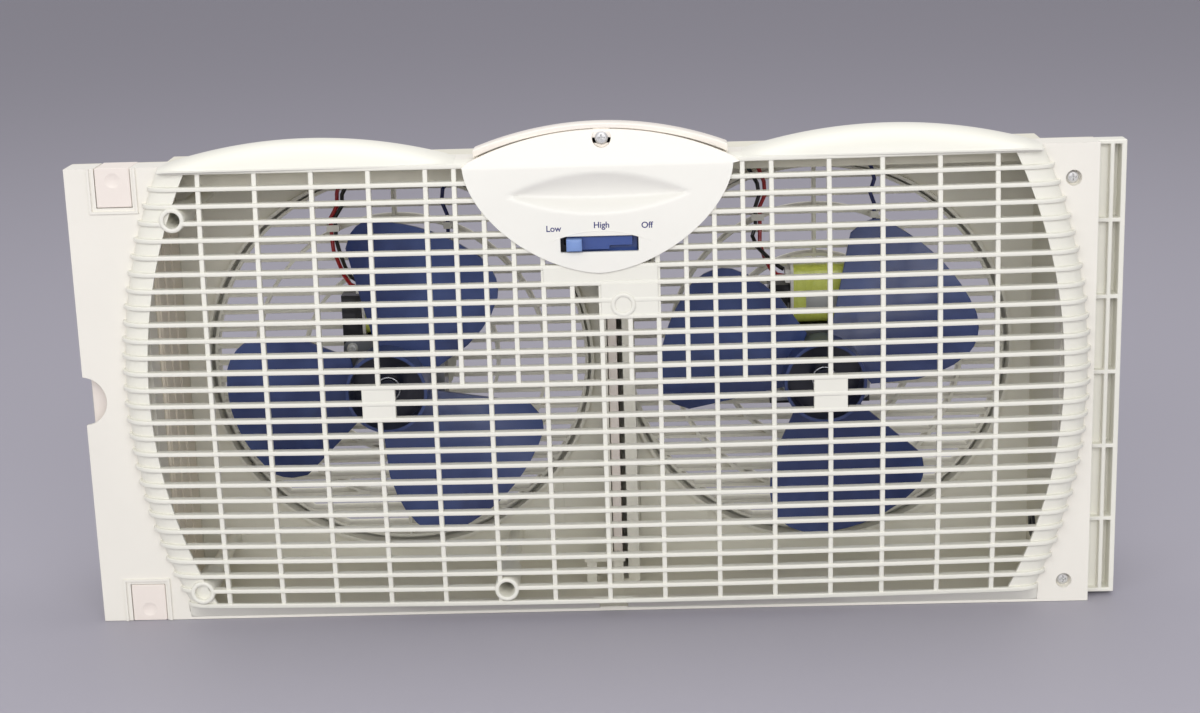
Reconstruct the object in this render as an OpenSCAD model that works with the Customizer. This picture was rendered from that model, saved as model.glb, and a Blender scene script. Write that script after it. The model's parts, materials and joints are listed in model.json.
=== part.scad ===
// Twin window fan: two fans side by side in one low box with a flange that stands in a window frame.
// X runs along the window, Y from the room (front grille) to outdoors (rear guard), Z up.
// The origin is at the middle of the footprint, on the sill.

/* [Air path] */
// Radius of each round air hole
orifice_r = 118; // [112:0.5:122]
// Web between the two air holes
orifice_web = 20; // [14:1:40]
// From an air hole to the chamber's side, wall included
side_gap = 16.15; // [12:0.05:30]
// From the air holes down to the sill
floor_gap = 13.4; // [10:0.1:24]
// From the air holes up to the chamber's roof
head_gap = 11; // [5:0.1:12]
// Air gap between a blade tip and its hole
tip_gap = 22; // [8:1:30]

/* [Flange] */
// Height of the flange above the chamber's roof, covered by the sash
sash_lap = 10.1; // [10:0.1:24]
// Width of the flange beside the chamber, left
left_stile = 38.7; // [36:0.1:60]
// Width of the flange beside the chamber, right
right_stile = 17.1; // [15:0.1:30]
// Depth of the flange
flange_d = 20.5; // [18:0.5:30]
// Depth of the chamber behind the flange
chamber_d = 71; // [66:1:90]
// How far the grille's dome stands in front of the flange
dome_d = 20.5; // [18:0.5:26]
// Moulded wall thickness
wall = 2.5; // [2:0.1:3]

/* [Front grille] */
// Height step from bar to bar
bar_pitch = 9.54; // [8:0.01:14]
// Height of the lowest bar's middle
bar_base = 10.6; // [9:0.1:14]
// Thickness of a bar
bar_t = 2.5; // [1.6:0.1:3]
// Depth of a bar
bar_d = 4.8; // [4:0.1:6]
// Step from rib to rib
rib_pitch = 32; // [24:1:48]
// Thickness of a rib
rib_t = 2.7; // [1.6:0.1:4]
// How far a rib's front lies behind the bars'
rib_set = 0.9; // [0.4:0.1:1.4]
// Half width of the grille at mid height
grille_half = 277; // [272:0.5:278]
// Radius of the grille's curved ends
end_r = 320; // [280:1:420]
// Width of the solid band at each end
band_w = 17; // [14:0.5:20]
// Fall of the dome from its middle to its top and bottom
dome_fall = 7.93; // [4:0.01:9]
// Fall of the dome from its middle to 224 mm aside
dome_side_fall = 4.6; // [2:0.1:6]

/* [Control panel] */
// Half width of the shield
shield_half = 75; // [68:0.5:80]
// Depth of the shield below the crease
shield_drop = 59.4; // [52:0.1:62]
// How far the shield stands in front of the grille
shield_proud = 1.5; // [1:0.1:2]
// Length of the switch slot
slot_w = 43.4; // [40:0.1:50]
// Height of the switch slot
slot_h = 8.9; // [8:0.1:10]
// Travel of the switch knob from Low to Off
speed_travel = 28; // [20:1:30]
// How far the knob stands in front of the grille
knob_proud = 2.6; // [2.2:0.1:5]

/* [Fans] */
// Radius of a hub
hub_r = 24; // [20:0.5:28]
// Pitch of a blade
blade_pitch = 15; // [10:1:18]
// Thickness of a blade
blade_t = 2; // [1.4:0.1:2.6]
// Radius of a shaft
shaft_r = 2.5; // [2:0.1:3]
// Radial running clearance of shaft and bush
shaft_fit = 0.05; // [0.02:0.01:0.08]
// Radius of a rotor
rotor_r = 12.9; // [11:0.1:14]
// Air gap between rotor and laminations
rotor_gap = 0.6; // [0.4:0.1:0.8]
// Thickness of the lamination stack
stack_d = 20; // [16:1:24]

/* [Window fit] */
// Width of the end rail that shows on the right
rail_w = 16.8; // [15:0.1:24]
// Thickness of a sliding extender panel
slide_t = 3; // [2:0.1:4]
// Travel of the left extender
left_travel = 22; // [10:1:24]
// Travel of the right extender
right_travel = 8; // [4:1:9]
// Travel of the two sash locks
lock_travel = 5; // [2:0.5:6]
// Radius of the finger notch
notch_r = 14.5; // [10:0.5:20]

/* [Rear guard] */
// Depth of the rear guard's slats
guard_d = 10.9; // [8:0.1:16]
// Height step from slat to slat
slat_pitch = 10.8; // [8:0.1:14]
// Thickness of a slat
slat_t = 2; // [1.4:0.1:3]
// Radius of the disc that carries a motor
motor_disc_r = 34; // [32:1:40]

/* [Fasteners] */
// Radius of a case screw's shank
screw_r = 1.5; // [1.2:0.1:1.8]
// Radius of a case screw's head
screw_head_r = 3.6; // [3:0.1:4]
// Radius of a screw post
post_r = 4.5; // [4:0.1:5]
// Radius of a screw well in the front
well_r = 4.5; // [4.2:0.1:5]

/* [Hidden] */

// smoothness of a large and of a small round
$fn = 96;
small_fn = 40;
// a cut reaches this far past the face it opens
cut = 1;
// gap between pieces that slide past each other
slide_gap = 0.3;

// heights
fan_z = floor_gap + orifice_r;
shell_h = fan_z + orifice_r + head_gap;
flange_h = shell_h + sash_lap;
crown_rise = 18.7;

// places across the window, from the grille's middle
fan_dx = orifice_r + orifice_web / 2;
chamber_half = fan_dx + orifice_r + side_gap;
plate_left = -(chamber_half + left_stile);
plate_right = chamber_half + right_stile;
rail_right = plate_right + rail_w;
grille_x = (-plate_left - rail_right) / 2;
inner_half = chamber_half - wall;

// depths
guard_gap = 2;
body_d = knob_proud + dome_d + flange_d + chamber_d + wall + guard_gap + guard_d;
face_y = -body_d / 2 + knob_proud;
plate_y = face_y + dome_d;
back_y = plate_y + flange_d;
orifice_y = back_y + chamber_d;
guard_y = orifice_y + wall + guard_gap;
rear_y = guard_y + guard_d;
rear_plate_t = 2.5;

// front grille
bar_count = floor((flange_h - wall / 2 - bar_base) / bar_pitch) + 1;
top_bar_z = bar_base + (bar_count - 1) * bar_pitch;
mid_z = (bar_base + top_bar_z) / 2;
dome_half_h = (top_bar_z - bar_base) / 2;
dome_half_w = 224;
rib_count = 15;
band_inset = 2.5;
band_t = 2.2;

// control panel
crease_z = flange_h - 3.5;
shield_power = 1.68;
shield_back = 12;
crown_x = 1.5;
crown_half = 69.5;
// how much wider the crown's foot is on each side
crown_flare = 7.5;
crown_r = 176.6;
crown_t = 3;
crown_top = flange_h + crown_rise;
crown_cz = crown_top - crown_t - crown_r;
// radius of the crown's back edge, which is flatter than its front edge
cap_r = 197;
crown_back = 8;
slot_z = crease_z - 43.15;
knob_w = 8.6;
knob_h = 6.7;
knob_x = -speed_travel / 2;
tongue_z = [crease_z - 44.6, crease_z - 39.4];
// the tongue's lower part: its bottom, and its right end, which stays inside the shield's side wall
tongue_low = crease_z - 46.8;
tongue_low_right = 5.5;
// the thin strip behind the tongue, which fills the slot and passes behind the grille's bars
strip_t = 0.9;
strip_z = [slot_z - 6, tongue_z[1]];
strip_right = slot_w / 2 - 0.7;
crown_screw_at = [2.5, crown_top - 7.7];

dish_r = 14;
dish_proud = 9;
dish_tip = 49.3;
dish_z = crease_z - 14.4;
groove_r = 69.5;
switch_y = face_y + 10;
switch_half = 24;
switch_h = 14.4;
switch_d = 16;
switch_rail_t = 2.2;
stem_half = 2.5;
crown_seat_y = face_y + 13.6;

// fans and motors
tip_r = orifice_r - tip_gap;
fan_y = back_y + 15;
motor_y = fan_y + 26;
stack_w = 60;
window_half = 18.7;
stack_top = 49;
yoke_t = 11;
bore_r = rotor_r + rotor_gap;
bracket_t = 2;
bush_r = 5;
bush_l = 7;
cup_r = 7.5;
motor_screw_r = 1.9;
motor_screw_at = [24.5, 17];
front_bracket_y = motor_y - bracket_t;
rear_bracket_y = motor_y + stack_d;
motor_post_y = rear_bracket_y + bracket_t;
coil_half_w = 15.5;
bobbin_t = 1.8;
sleeve_t = 1.4;
winding_y = 4.5;
winding_z = 12;
right_turn = 40;
left_turn = 70;

// flange parts
guide_y = plate_y + 10;
lock_x = [plate_left + 17.4, plate_left + 37.3];
lock_h = 22.3;
lock_gap = 0.35;
// how far a raised lock still reaches down behind the flange, and the thickness of that leg
lock_hold = 7;
lock_leg_t = 2;
rim_t = 1;
left_panel_edge = plate_left + 2.4;
// width of the left extender that stays in its guide when it is pulled out
panel_hold = 10.45;
rail_y = plate_y + 8.5;
rail_left = plate_right + slide_gap;
rail_cells = 6;

// screws of the case: x and z
front_wells = [[-239.5, 241.6], [-239.3, 19.4], [-60.2, 19.4]];
divider_well = [12.3, 189];
plate_wells = [[plate_right - 14.2, flange_h - 19.8], [plate_right - 14.2, 12.7]];
well_wall = 2.6;
well_floor = 2.5;

// the cord's grommet in the chamber's right side
inlet_y = back_y + 50;
inlet_z = 24;
inlet_r = 6.5;
inlet_bore_r = 3.6;

// crests on the top rim
lobe_dx = 163.2;
lobe_half = 83.2;
lobe_rise = 12.4;
lobe_depth = 13;

// how far the grille's bottom edge stands above the sill
rim_lift = 1.6;
// bar's front to the slanting skirt below it
rim_step = 1.2;

// front wall of the duct that hides the leads over the left fan: its height and right end
duct_h = 4.4;
duct_right = -40;

// rim of an air hole
lip_t = 2;
lip_d = 4;

// centre divider
divider_back = orifice_y - lip_d;
divider_y = back_y + 19;
divider_h = divider_well[1] + 7;
divider_left = [-3, 1];
divider_right = [10, 17];
bracket_x = -3.8;
bracket_z = 19.8;
bracket_screw_dx = 7.85;

// routes of the motor leads: x, y, z of points chosen by hand
lead_r = 1.25;
lead_y = 42;
// clips on the rear guard: x of the middle and width of the slot
clips = [[93, 5.2], [163, 2.6], [-163.4, 5.2], [-94, 2.6]];
clip_z = fan_z + 8 * slat_pitch;
clip_wall = 1.2;
clip_slot_half = 1.4;
right_red_route = [[107.2, 19, 186], [103, 21, 186.5], [99.5, 27, 189], [96.5, 35, 194], [94, 40, 202],
    [94.3, 42, 211], [94.3, 42, 224], [97.5, 42, 231], [97, 42, 239], [94, 41, 247], [91, 39, 252.5],
    [84, 37, 255], [70, 31, 255], [56, 18, 253], [42, 0, 250], [28, -17, 245], [17, -27, 237.5],
    [12.7, -31, 230.5], [12, -33.2, 227], [12, -36.35, 227]];
right_black_route = [[107.2, 24, 189], [103, 26, 191.5], [98, 30, 195.5], [92, 35, 201], [89.6, 40, 206.5],
    [91.7, 42, 212], [91.7, 42, 224], [94, 42, 231], [93, 42, 238], [90, 40, 244], [87, 37.5, 249],
    [80, 33.5, 251.8], [66, 26, 251.5], [52, 12, 249], [38, -5, 245.5], [24, -20, 239.5],
    [12, -26.5, 233], [7.5, -31, 228.7], [7, -33.2, 227], [7, -36.35, 227]];
right_blue_route = [[146.2, 32, 188], [150, 34, 189], [155, 37, 192.5], [160, 41, 199], [163, 42, 206],
    [163, 42, 212], [163, 42, 224], [160.5, 42, 231], [163, 42, 239], [161, 40, 247], [156, 38, 252.5],
    [146, 36, 254.8], [118, 30, 255.2], [90, 26, 255.2], [68, 20, 255], [54, 5, 253], [42, -9, 249.5],
    [31, -20, 244.5], [23, -27.5, 238.5], [18.3, -31, 231.5], [17, -33.2, 227], [17, -36.35, 227]];
left_red_route = [[-148.8, 19, 186], [-152, 21, 187], [-156.5, 28, 191], [-160.5, 36, 197],
    [-164, 41, 204], [-164.7, 42, 212], [-164.7, 42, 224], [-160.5, 42, 231], [-160, 42, 239],
    [-157, 41, 248], [-150, 39, 253], [-120, 38, 254.3], [-90, 38, 254.3], [-64, 34, 253.5],
    [-50, 18, 252], [-36, -4, 249], [-24, -20, 244], [-16, -28, 237], [-12.5, -31, 231],
    [-12, -33.2, 227], [-12, -36.35, 227]];
left_black_route = [[-148.8, 24, 189], [-152, 26, 190.5], [-156, 32, 195], [-159.5, 38, 202],
    [-162.1, 42, 210], [-162.1, 42, 214], [-162.1, 42, 224], [-157.5, 42, 231], [-157, 42, 238],
    [-153.5, 40, 244], [-150, 36.5, 249], [-143, 34.8, 253.2], [-118, 34.6, 254.3], [-88, 34.6, 254.3],
    [-68, 31, 251.5], [-52, 18, 248.3], [-36, -3, 245], [-23, -19, 240], [-13, -27.5, 233],
    [-8, -31, 228.8], [-7, -33.2, 227], [-7, -36.35, 227]];
left_blue_route = [[-109.8, 32, 188], [-106, 34, 189], [-101, 37, 193], [-96, 41, 200], [-94, 42, 206],
    [-94, 42, 212], [-94, 42, 224], [-97, 42, 232], [-96, 41.5, 240], [-91, 38, 246.5], [-80, 31, 249],
    [-66, 20, 247.5], [-50, 6, 243], [-36, -8, 239.5], [-20, -17, 236.5], [-9, -23, 234], [-4, -29, 230],
    [-2, -33.2, 227], [-2, -36.35, 227]];

// ---------- helpers ----------

// A block from its lowest to its highest corner.
module block(lo, hi) translate(lo) cube(hi - lo);

// An outline drawn in x and z, as deep as from y0 to y1.
module along_y(y0, y1) translate([0, y1, 0]) rotate([90, 0, 0]) linear_extrude(y1 - y0) children();

// An outline drawn in y and z, as long as from x0 to x1.
module along_x(x0, x1) translate([x0, 0, 0]) rotate([90, 0, 90]) linear_extrude(x1 - x0) children();

// An outline drawn in x and y, as high as from z0 to z1.
module along_z(z0, z1) translate([0, 0, z0]) linear_extrude(z1 - z0) children();

// A round bar along y at x and z.
module rod_y(at, r, y0, y1) translate([at[0], y1, at[1]]) rotate([90, 0, 0]) cylinder(r = r, h = y1 - y0);

// A rectangle in x and z, centred, with true round corners.
module rounded(w, h, r) {
    square([w - 2 * r, h], center = true);
    square([w, h - 2 * r], center = true);
    for (sx = [-1, 1], sz = [-1, 1]) translate([sx * (w / 2 - r), sz * (h / 2 - r)]) circle(r);
}

// A rectangle in the plane of a drawing, from corner to corner.
module panel(lo, hi) translate(lo) square(hi - lo);

// A pan-head screw whose head lies on y_seat and whose shank runs back from there.
module screw_y(at, y_seat, shank_l, r, head_r) {
    head_h = head_r * 0.62;
    difference() {
        union() {
            rod_y(at, r, y_seat - cut, y_seat + shank_l);
            translate([at[0], y_seat, at[1]]) rotate([90, 0, 0]) rotate_extrude($fn = small_fn)
                polygon([[0, 0], [head_r, 0], [head_r, head_h * 0.5], [head_r * 0.75, head_h * 0.9],
                    [head_r * 0.4, head_h], [0, head_h]]);
        }
        for (turn = [0, 90]) translate([at[0], y_seat - head_h, at[1]]) rotate([0, turn, 0])
            cube([head_r * 1.1, head_h, head_r * 0.24], center = true);
    }
}

// A round lead swept along its route, one eight-sided ring at each point.
sides = 8;
function unit(v) = v / norm(v);
function route_dir(p, i) = unit(p[min(i + 1, len(p) - 1)] - p[max(i - 1, 0)]);
function route_ring(p, i, r) =
    let (d = route_dir(p, i), a = unit(cross(d, [0.31, -0.64, 0.7])), b = cross(d, a))
    [for (k = [0 : sides - 1]) p[i] + r * (cos(k * 360 / sides) * a + sin(k * 360 / sides) * b)];
module lead(route, r) {
    n = len(route);
    points = [for (i = [0 : n - 1]) each route_ring(route, i, r)];
    skin = [for (i = [0 : n - 2], k = [0 : sides - 1])
        let (a = i * sides + k, b = i * sides + (k + 1) % sides)
        each [[a, b, b + sides], [a, b + sides, a + sides]]];
    start_cap = [for (k = [0 : sides - 1]) sides - 1 - k];
    end_cap = [for (k = [0 : sides - 1]) (n - 1) * sides + k];
    polyhedron(points = points, faces = concat(skin, [start_cap, end_cap]));
}

// ---------- front grille ----------

// Depth of the dome's front at x and z, behind its front-most point.
function dome(x, z) =
    dome_fall * pow((z - mid_z) / dome_half_h, 2) + dome_side_fall * pow(x / dome_half_w, 2);
// Half width of the grille at height z.
function end_x(z) = grille_half - end_r + sqrt(end_r * end_r - pow(z - mid_z, 2));

// Half of a bar's front edge in plan, from the middle to the end: a dome line, then a quarter ellipse.
function bar_edge(z, inset_x, inset_y) =
    let (tip = end_x(z) - inset_x, start = end_x(z) - band_w, y1 = dome(start, z) + inset_y,
        steps = 8, turns = 6)
    concat([for (i = [0 : steps]) let (x = start * i / steps) [x, face_y + dome(x, z) + inset_y]],
        [for (k = [1 : turns]) let (a = 90 * k / turns)
            [start + (tip - start) * sin(a), face_y + y1 + (dome_d - y1) * (1 - cos(a))]]);

// Plan outline of one bar, both halves.
module bar_plan(z) {
    front = bar_edge(z, 0, 0);
    rear = bar_edge(z, band_inset + band_t + 0.4, bar_d);
    half = concat(front, [for (i = [len(rear) - 1 : -1 : 0]) rear[i]]);
    for (side = [0, 1]) mirror([side, 0, 0]) polygon(concat(half, [[-0.1, half[len(half) - 1][1]],
        [-0.1, half[0][1]]]));
}

// Plan outline of the top and bottom rims: the bar's front, filled back to the flange.
module rim_plan(z) {
    front = bar_edge(z, 0, 0);
    for (side = [0, 1]) mirror([side, 0, 0]) polygon(concat(front, [[-0.1, plate_y], [-0.1, front[0][1]]]));
}

// Plan outline of the end band between two bars.
module band_plan(z) {
    turns = 6;
    tip = end_x(z);
    start = tip - band_w - 6;
    y1 = face_y + dome(start, z);
    function arc(dx, dy) = [for (k = [0 : turns]) let (a = 90 * k / turns)
        [start + (tip - dx - start) * sin(a), y1 + dy + (plate_y - y1 - dy) * (1 - cos(a))]];
    outer = arc(band_inset, 2.2);
    inner = arc(band_inset + band_t, 2.2 + band_t);
    polygon(concat(outer, [for (k = [turns : -1 : 0]) inner[k]]));
}

// The shield's outline in x and z, grown by a clearance.
module shield_outline(grow) {
    a = shield_half + grow;
    b = shield_drop + grow;
    top = [for (k = [0 : 40]) let (t = 180 * k / 40, c = cos(t), s = sin(t))
        [a * sign(c) * pow(abs(c), 2 / shield_power), crease_z - b * pow(s, 2 / shield_power)]];
    polygon(top);
}

// Where the grille makes room for the control panel.
module panel_room() {
    grow = 0.4;
    along_y(face_y - 5, back_y) {
        shield_outline(grow);
        room = crown_half + crown_flare + 0.9;
        panel([crown_x - room, crease_z - 0.1], [crown_x + room, crown_top + 30]);
    }
}

// A long low crest on the grille's top rim, over one fan.
module lobe_side(inset) {
    base_z = flange_h - 0.2;
    r = (lobe_half * lobe_half + lobe_rise * lobe_rise) / (2 * lobe_rise) - inset;
    intersection() {
        translate([0, base_z + lobe_rise - inset - r]) circle(r, $fn = 256);
        panel([-lobe_half - 10, base_z - 6], [lobe_half + 10, base_z + lobe_rise + 1]);
    }
}
module lobe_profile(inset) {
    z0 = flange_h - 3.2;
    h = lobe_rise + 1.6 - inset;
    l = 20;
    y0 = face_y + 9.2 + inset;
    front = [for (k = [0 : 9]) let (a = 10 * k) [y0 + l * (1 - cos(a)), z0 + h * sin(a)]];
    polygon(concat(front, [[plate_y + lobe_depth, z0 + h], [plate_y + lobe_depth, z0]]));
}
module lobe() {
    difference() {
        intersection() {
            along_y(face_y, back_y) lobe_side(0);
            along_x(-lobe_half - 12, lobe_half + 12) lobe_profile(0);
        }
        intersection() {
            along_y(face_y - cut, back_y + cut) lobe_side(wall);
            translate([0, cut * 2, 0]) along_x(-lobe_half - 12, lobe_half + 12) lobe_profile(wall);
            block([-lobe_half, face_y, flange_h], [lobe_half, back_y + cut, flange_h + 30]);
        }
        block([-lobe_half - 12, plate_y, flange_h - 5], [lobe_half + 12, back_y + cut, flange_h]);
        block([-lobe_half - 12, face_y, flange_h - 5], [lobe_half + 12, back_y + cut, top_bar_z]);
    }
}

// One rib: a thin upright strip that follows the dome, from z0 to z1.
module rib(x, z0, z1) {
    steps = max(4, round((z1 - z0) / 20));
    function edge(set) = [for (i = [0 : steps]) let (z = z0 + (z1 - z0) * i / steps)
        [face_y + dome(x, z) + set, z]];
    front = edge(rib_set);
    back = edge(bar_d - 0.6);
    along_x(x - rib_t / 2, x + rib_t / 2) polygon(concat(front, [for (i = [steps : -1 : 0]) back[i]]));
}

function bar_z(i) = top_bar_z - i * bar_pitch;
function rib_x(j) = (j - 7) * rib_pitch - (j >= 12 ? 2.4 : 0);

// A small plate that closes the cells from rib x0 to x1 and bar i0 to bar i1.
module cell_plate(x0, x1, i0, i1) {
    y = face_y + dome(max(abs(x0), abs(x1)), (bar_z(i0) + bar_z(i1)) / 2);
    block([x0, y + 1.3, bar_z(i1)], [x1, y + bar_d - 1.1, bar_z(i0)]);
}

// The tube of a screw well, from the dome back to the posts.
module well_tube(at) rod_y(at, well_r + well_wall, face_y + dome(at[0], at[1]) - 0.5, back_y);
module well_bore(at) {
    rod_y(at, well_r, face_y - cut, back_y - well_floor);
    rod_y(at, screw_r + 0.3, face_y, back_y + cut);
}

module front_grille() color("ivory") translate([grille_x, 0, 0]) {
    last = bar_count - 1;
    difference() {
        union() {
            for (i = [1 : last - 1]) along_z(bar_z(i) - bar_t / 2, bar_z(i) + bar_t / 2) bar_plan(bar_z(i));
            // top rim: the highest bar, sloping up and back to the flange's top
            intersection() {
                along_z(top_bar_z - bar_t / 2, flange_h) rim_plan(top_bar_z);
                along_x(-end_r, end_r) polygon([[face_y, top_bar_z - 2],
                    [face_y, top_bar_z + bar_t / 2 - 0.6], [plate_y, flange_h], [plate_y, flange_h - wall],
                    [plate_y - 6, top_bar_z - 1.25], [face_y + 20, top_bar_z - 2]]);
            }
            // bottom rim: the lowest bar, curling down and back to the sill
            intersection() {
                along_z(0, bar_base + bar_t / 2) rim_plan(bar_base);
                along_x(-end_r, end_r) difference() {
                    rim_section();
                    rim_room();
                }
            }
            // solid bands at both ends, cut to one slanting inner edge
            difference() {
                for (i = [0 : last - 1], side = [0, 1]) mirror([side, 0, 0])
                    along_z(bar_z(i + 1) + 0.4, bar_z(i) - 0.4) band_plan((bar_z(i) + bar_z(i + 1)) / 2);
                along_y(face_y - cut, plate_y + cut) intersection_for(side = [-1, 1])
                    translate([side * (end_r - grille_half), mid_z]) circle(end_r - band_w, $fn = 256);
            }
            for (j = [0 : rib_count - 1]) rib(rib_x(j), bar_base - 0.6, top_bar_z + 0.6);
            for (j = [4 : 9]) rib((j - 6.5) * rib_pitch, bar_z(13), top_bar_z + 0.6);
            cell_plate(rib_x(6), rib_x(8), 6, 7);
            cell_plate(rib_x(7), rib_x(8), 7, 9);
            for (s = [-1, 1]) cell_plate(s * 4 * rib_pitch - 9.5, s * 4 * rib_pitch + 9.5, 13, 15);
            for (at = front_wells) well_tube(at);
            well_tube(divider_well);
            for (s = [-1, 1]) translate([s * lobe_dx, 0, 0]) lobe();
        }
        panel_room();
        for (at = front_wells) well_bore(at);
        well_bore(divider_well);
        // notch in the middle of the bottom edge, up to the lowest bar
        block([-6.6, face_y, -cut], [9.8, plate_y + cut, bar_base - bar_t / 2 - 0.2]);
    }
}

// The bottom rim in y and z, filled: the lowest bar and the skirt that slants back below it.
module rim_section() {
    y0 = face_y + dome_fall;
    low = bar_base - bar_t / 2;
    polygon([[y0, low + bar_t], [y0, low], [y0 + rim_step, low], [plate_y, rim_lift],
        [plate_y, low + bar_t]]);
}

// The room behind that rim, in y and z.
module rim_room() {
    y1 = face_y + dome_fall + wall;
    low = bar_base - bar_t / 2;
    polygon([[y1, low + bar_t + cut], [y1, low + 1.6], [plate_y + cut, rim_lift + wall + 0.1],
        [plate_y + cut, low + bar_t + cut]]);
}

// ---------- flange and housing ----------

// The grille's outline in x and z, drawn in by an inset.
module grille_outline(inset) intersection_for(side = [-1, 1])
    translate([side * (end_r - grille_half), mid_z]) circle(end_r - inset, $fn = 256);

// Room for a sash lock at the top; the lower lock is its mirror image.
module lock_room(grow) block([lock_x[0] - grow, plate_y - cut, flange_h - lock_h - grow],
    [lock_x[1] + grow, plate_y + wall + cut, flange_h + cut]);

// Mirrors what stands at the flange's top down to its bottom.
module at_bottom() translate([0, 0, flange_h]) mirror([0, 0, 1]) children();

// The low raised rim round three sides of a sash lock.
module lock_rim() difference() {
    block([lock_x[0] - 4.4, plate_y - rim_t, flange_h - lock_h - 3.6],
        [lock_x[1] + 3.4, plate_y + 0.5, flange_h]);
    block([lock_x[0] - 2.9, plate_y - rim_t - cut, flange_h - lock_h - 2.1],
        [lock_x[1] + 1.9, plate_y + cut, flange_h + cut]);
}

module front_frame() color("linen") translate([grille_x, 0, 0]) {
    top_z = flange_h - wall;
    difference() {
        union() {
            block([plate_left, plate_y, 0], [plate_right, plate_y + wall, flange_h]);
            block([plate_left, plate_y, 0], [plate_right, back_y - wall, wall]);
            block([plate_left, plate_y, top_z], [plate_right, back_y - wall, flange_h]);
            for (s = [-1, 1]) block([min(s * inner_half, s * chamber_half), plate_y + 1, 1],
                [max(s * inner_half, s * chamber_half), back_y - wall, flange_h - 1]);
            // rails that guide the extenders' edges
            for (x = [[plate_left, -chamber_half - 1], [chamber_half - 1, plate_right]], z = [1, top_z - 4]) {
                block([x[0], guide_y - slide_gap - 2, z], [x[1], guide_y - slide_gap, z + 5]);
                block([x[0], guide_y + slide_t + slide_gap, z],
                    [x[1], guide_y + slide_t + slide_gap + 2, z + 5]);
            }
            for (at = plate_wells) rod_y(at, well_r + 1.4, plate_y + 1, plate_y + 7.5);
            lock_rim();
            at_bottom() lock_rim();
        }
        // the way through to the chamber
        along_y(plate_y - cut, plate_y + wall + cut) intersection() {
            panel([-inner_half, wall], [inner_half, top_z]);
            grille_outline(6);
        }
        for (at = plate_wells) {
            rod_y(at, well_r, plate_y - cut, plate_y + 5);
            rod_y(at, screw_r + 0.3, plate_y, plate_y + 9);
        }
        rod_y([plate_left - 1.5, flange_h / 2], notch_r, plate_y - cut, plate_y + wall + cut);
        // room for the rear housing's screw posts beside the collar
        for (at = plate_wells) rod_y(at, post_r - 0.5 + slide_gap, plate_y + 7.5, back_y);
        lock_room(lock_gap);
        at_bottom() lock_room(lock_gap);
        lock_slot(back_y);
        at_bottom() lock_slot(back_y);
    }
}

// The gap in the flange's edge through which a sash lock's bridge passes.
module lock_slot(y1) block([lock_x[0] - lock_gap, plate_y - cut, flange_h - wall - slide_gap],
    [lock_x[1] + lock_gap, y1 + cut, flange_h + cut]);

module rear_housing() color("antiquewhite") translate([grille_x, 0, 0]) {
    difference() {
        union() {
            block([plate_left, back_y - wall, 0], [plate_right, back_y, flange_h]);
            block([-chamber_half, back_y - wall, 0], [chamber_half, rear_y, shell_h]);
            for (at = plate_wells) rod_y(at, post_r - 0.5, plate_y + 7.5, back_y - cut);
        }
        block([-inner_half, back_y - wall - cut, wall], [inner_half, rear_y + cut, shell_h - wall]);
        for (at = plate_wells) rod_y(at, screw_r + 0.02, plate_y + 7, back_y - 0.5);
        lock_slot(back_y);
        at_bottom() lock_slot(back_y);
        // the hole that holds the cord's grommet
        translate([inner_half - cut, inlet_y, inlet_z]) rotate([0, 90, 0]) cylinder(r = inlet_r, h = 20);
    }
    // front wall of the lead duct under the roof
    block([-inner_half - cut, back_y - wall, shell_h - wall - duct_h],
        [duct_right, back_y, shell_h - wall + cut]);
}

// ---------- control panel ----------

// The dome's curve as a circle in y and z, set forward by proud.
module dome_disc(proud) {
    r = (dome_half_h * dome_half_h + dome_fall * dome_fall) / (2 * dome_fall);
    translate([face_y - proud + r, mid_z]) circle(r, $fn = 360);
}

// The finger dish: a spindle that lies along x in front of the shield.
module dish(grow) {
    depth = dish_r - dish_proud;
    bow_r = (dish_tip * dish_tip + depth * depth) / (2 * depth);
    half = sqrt(bow_r * bow_r - pow(bow_r - dish_r, 2));
    y = face_y + dome(0, dish_z) - shield_proud - dish_proud;
    translate([0, y, dish_z]) rotate([0, 90, 0]) rotate_extrude() intersection() {
        translate([dish_r - bow_r, 0]) circle(bow_r + grow, $fn = 200);
        panel([0, -half - 2], [dish_r + grow + 1, half + 2]);
    }
}

// The leaning face above the crease, in x and z.
module crown_outline() intersection() {
    foot_half = crown_half + crown_flare;
    translate([crown_x, 0]) polygon([[-foot_half, crease_z - 0.5], [foot_half, crease_z - 0.5],
        [crown_half, crease_z + 8], [crown_half, crown_top], [-crown_half, crown_top],
        [-crown_half, crease_z + 8]]);
    translate([crown_x, crown_cz]) circle(crown_r, $fn = 360);
}

module crown_face_profile() {
    y0 = face_y + dome(0, crease_z) - shield_proud;
    polygon([[y0, crease_z - 0.5], [y0 + 8.6, crown_top - 2], [y0 + 8.6 + wall, crown_top - 2],
        [y0 + wall, crease_z - 0.5]]);
}

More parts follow.
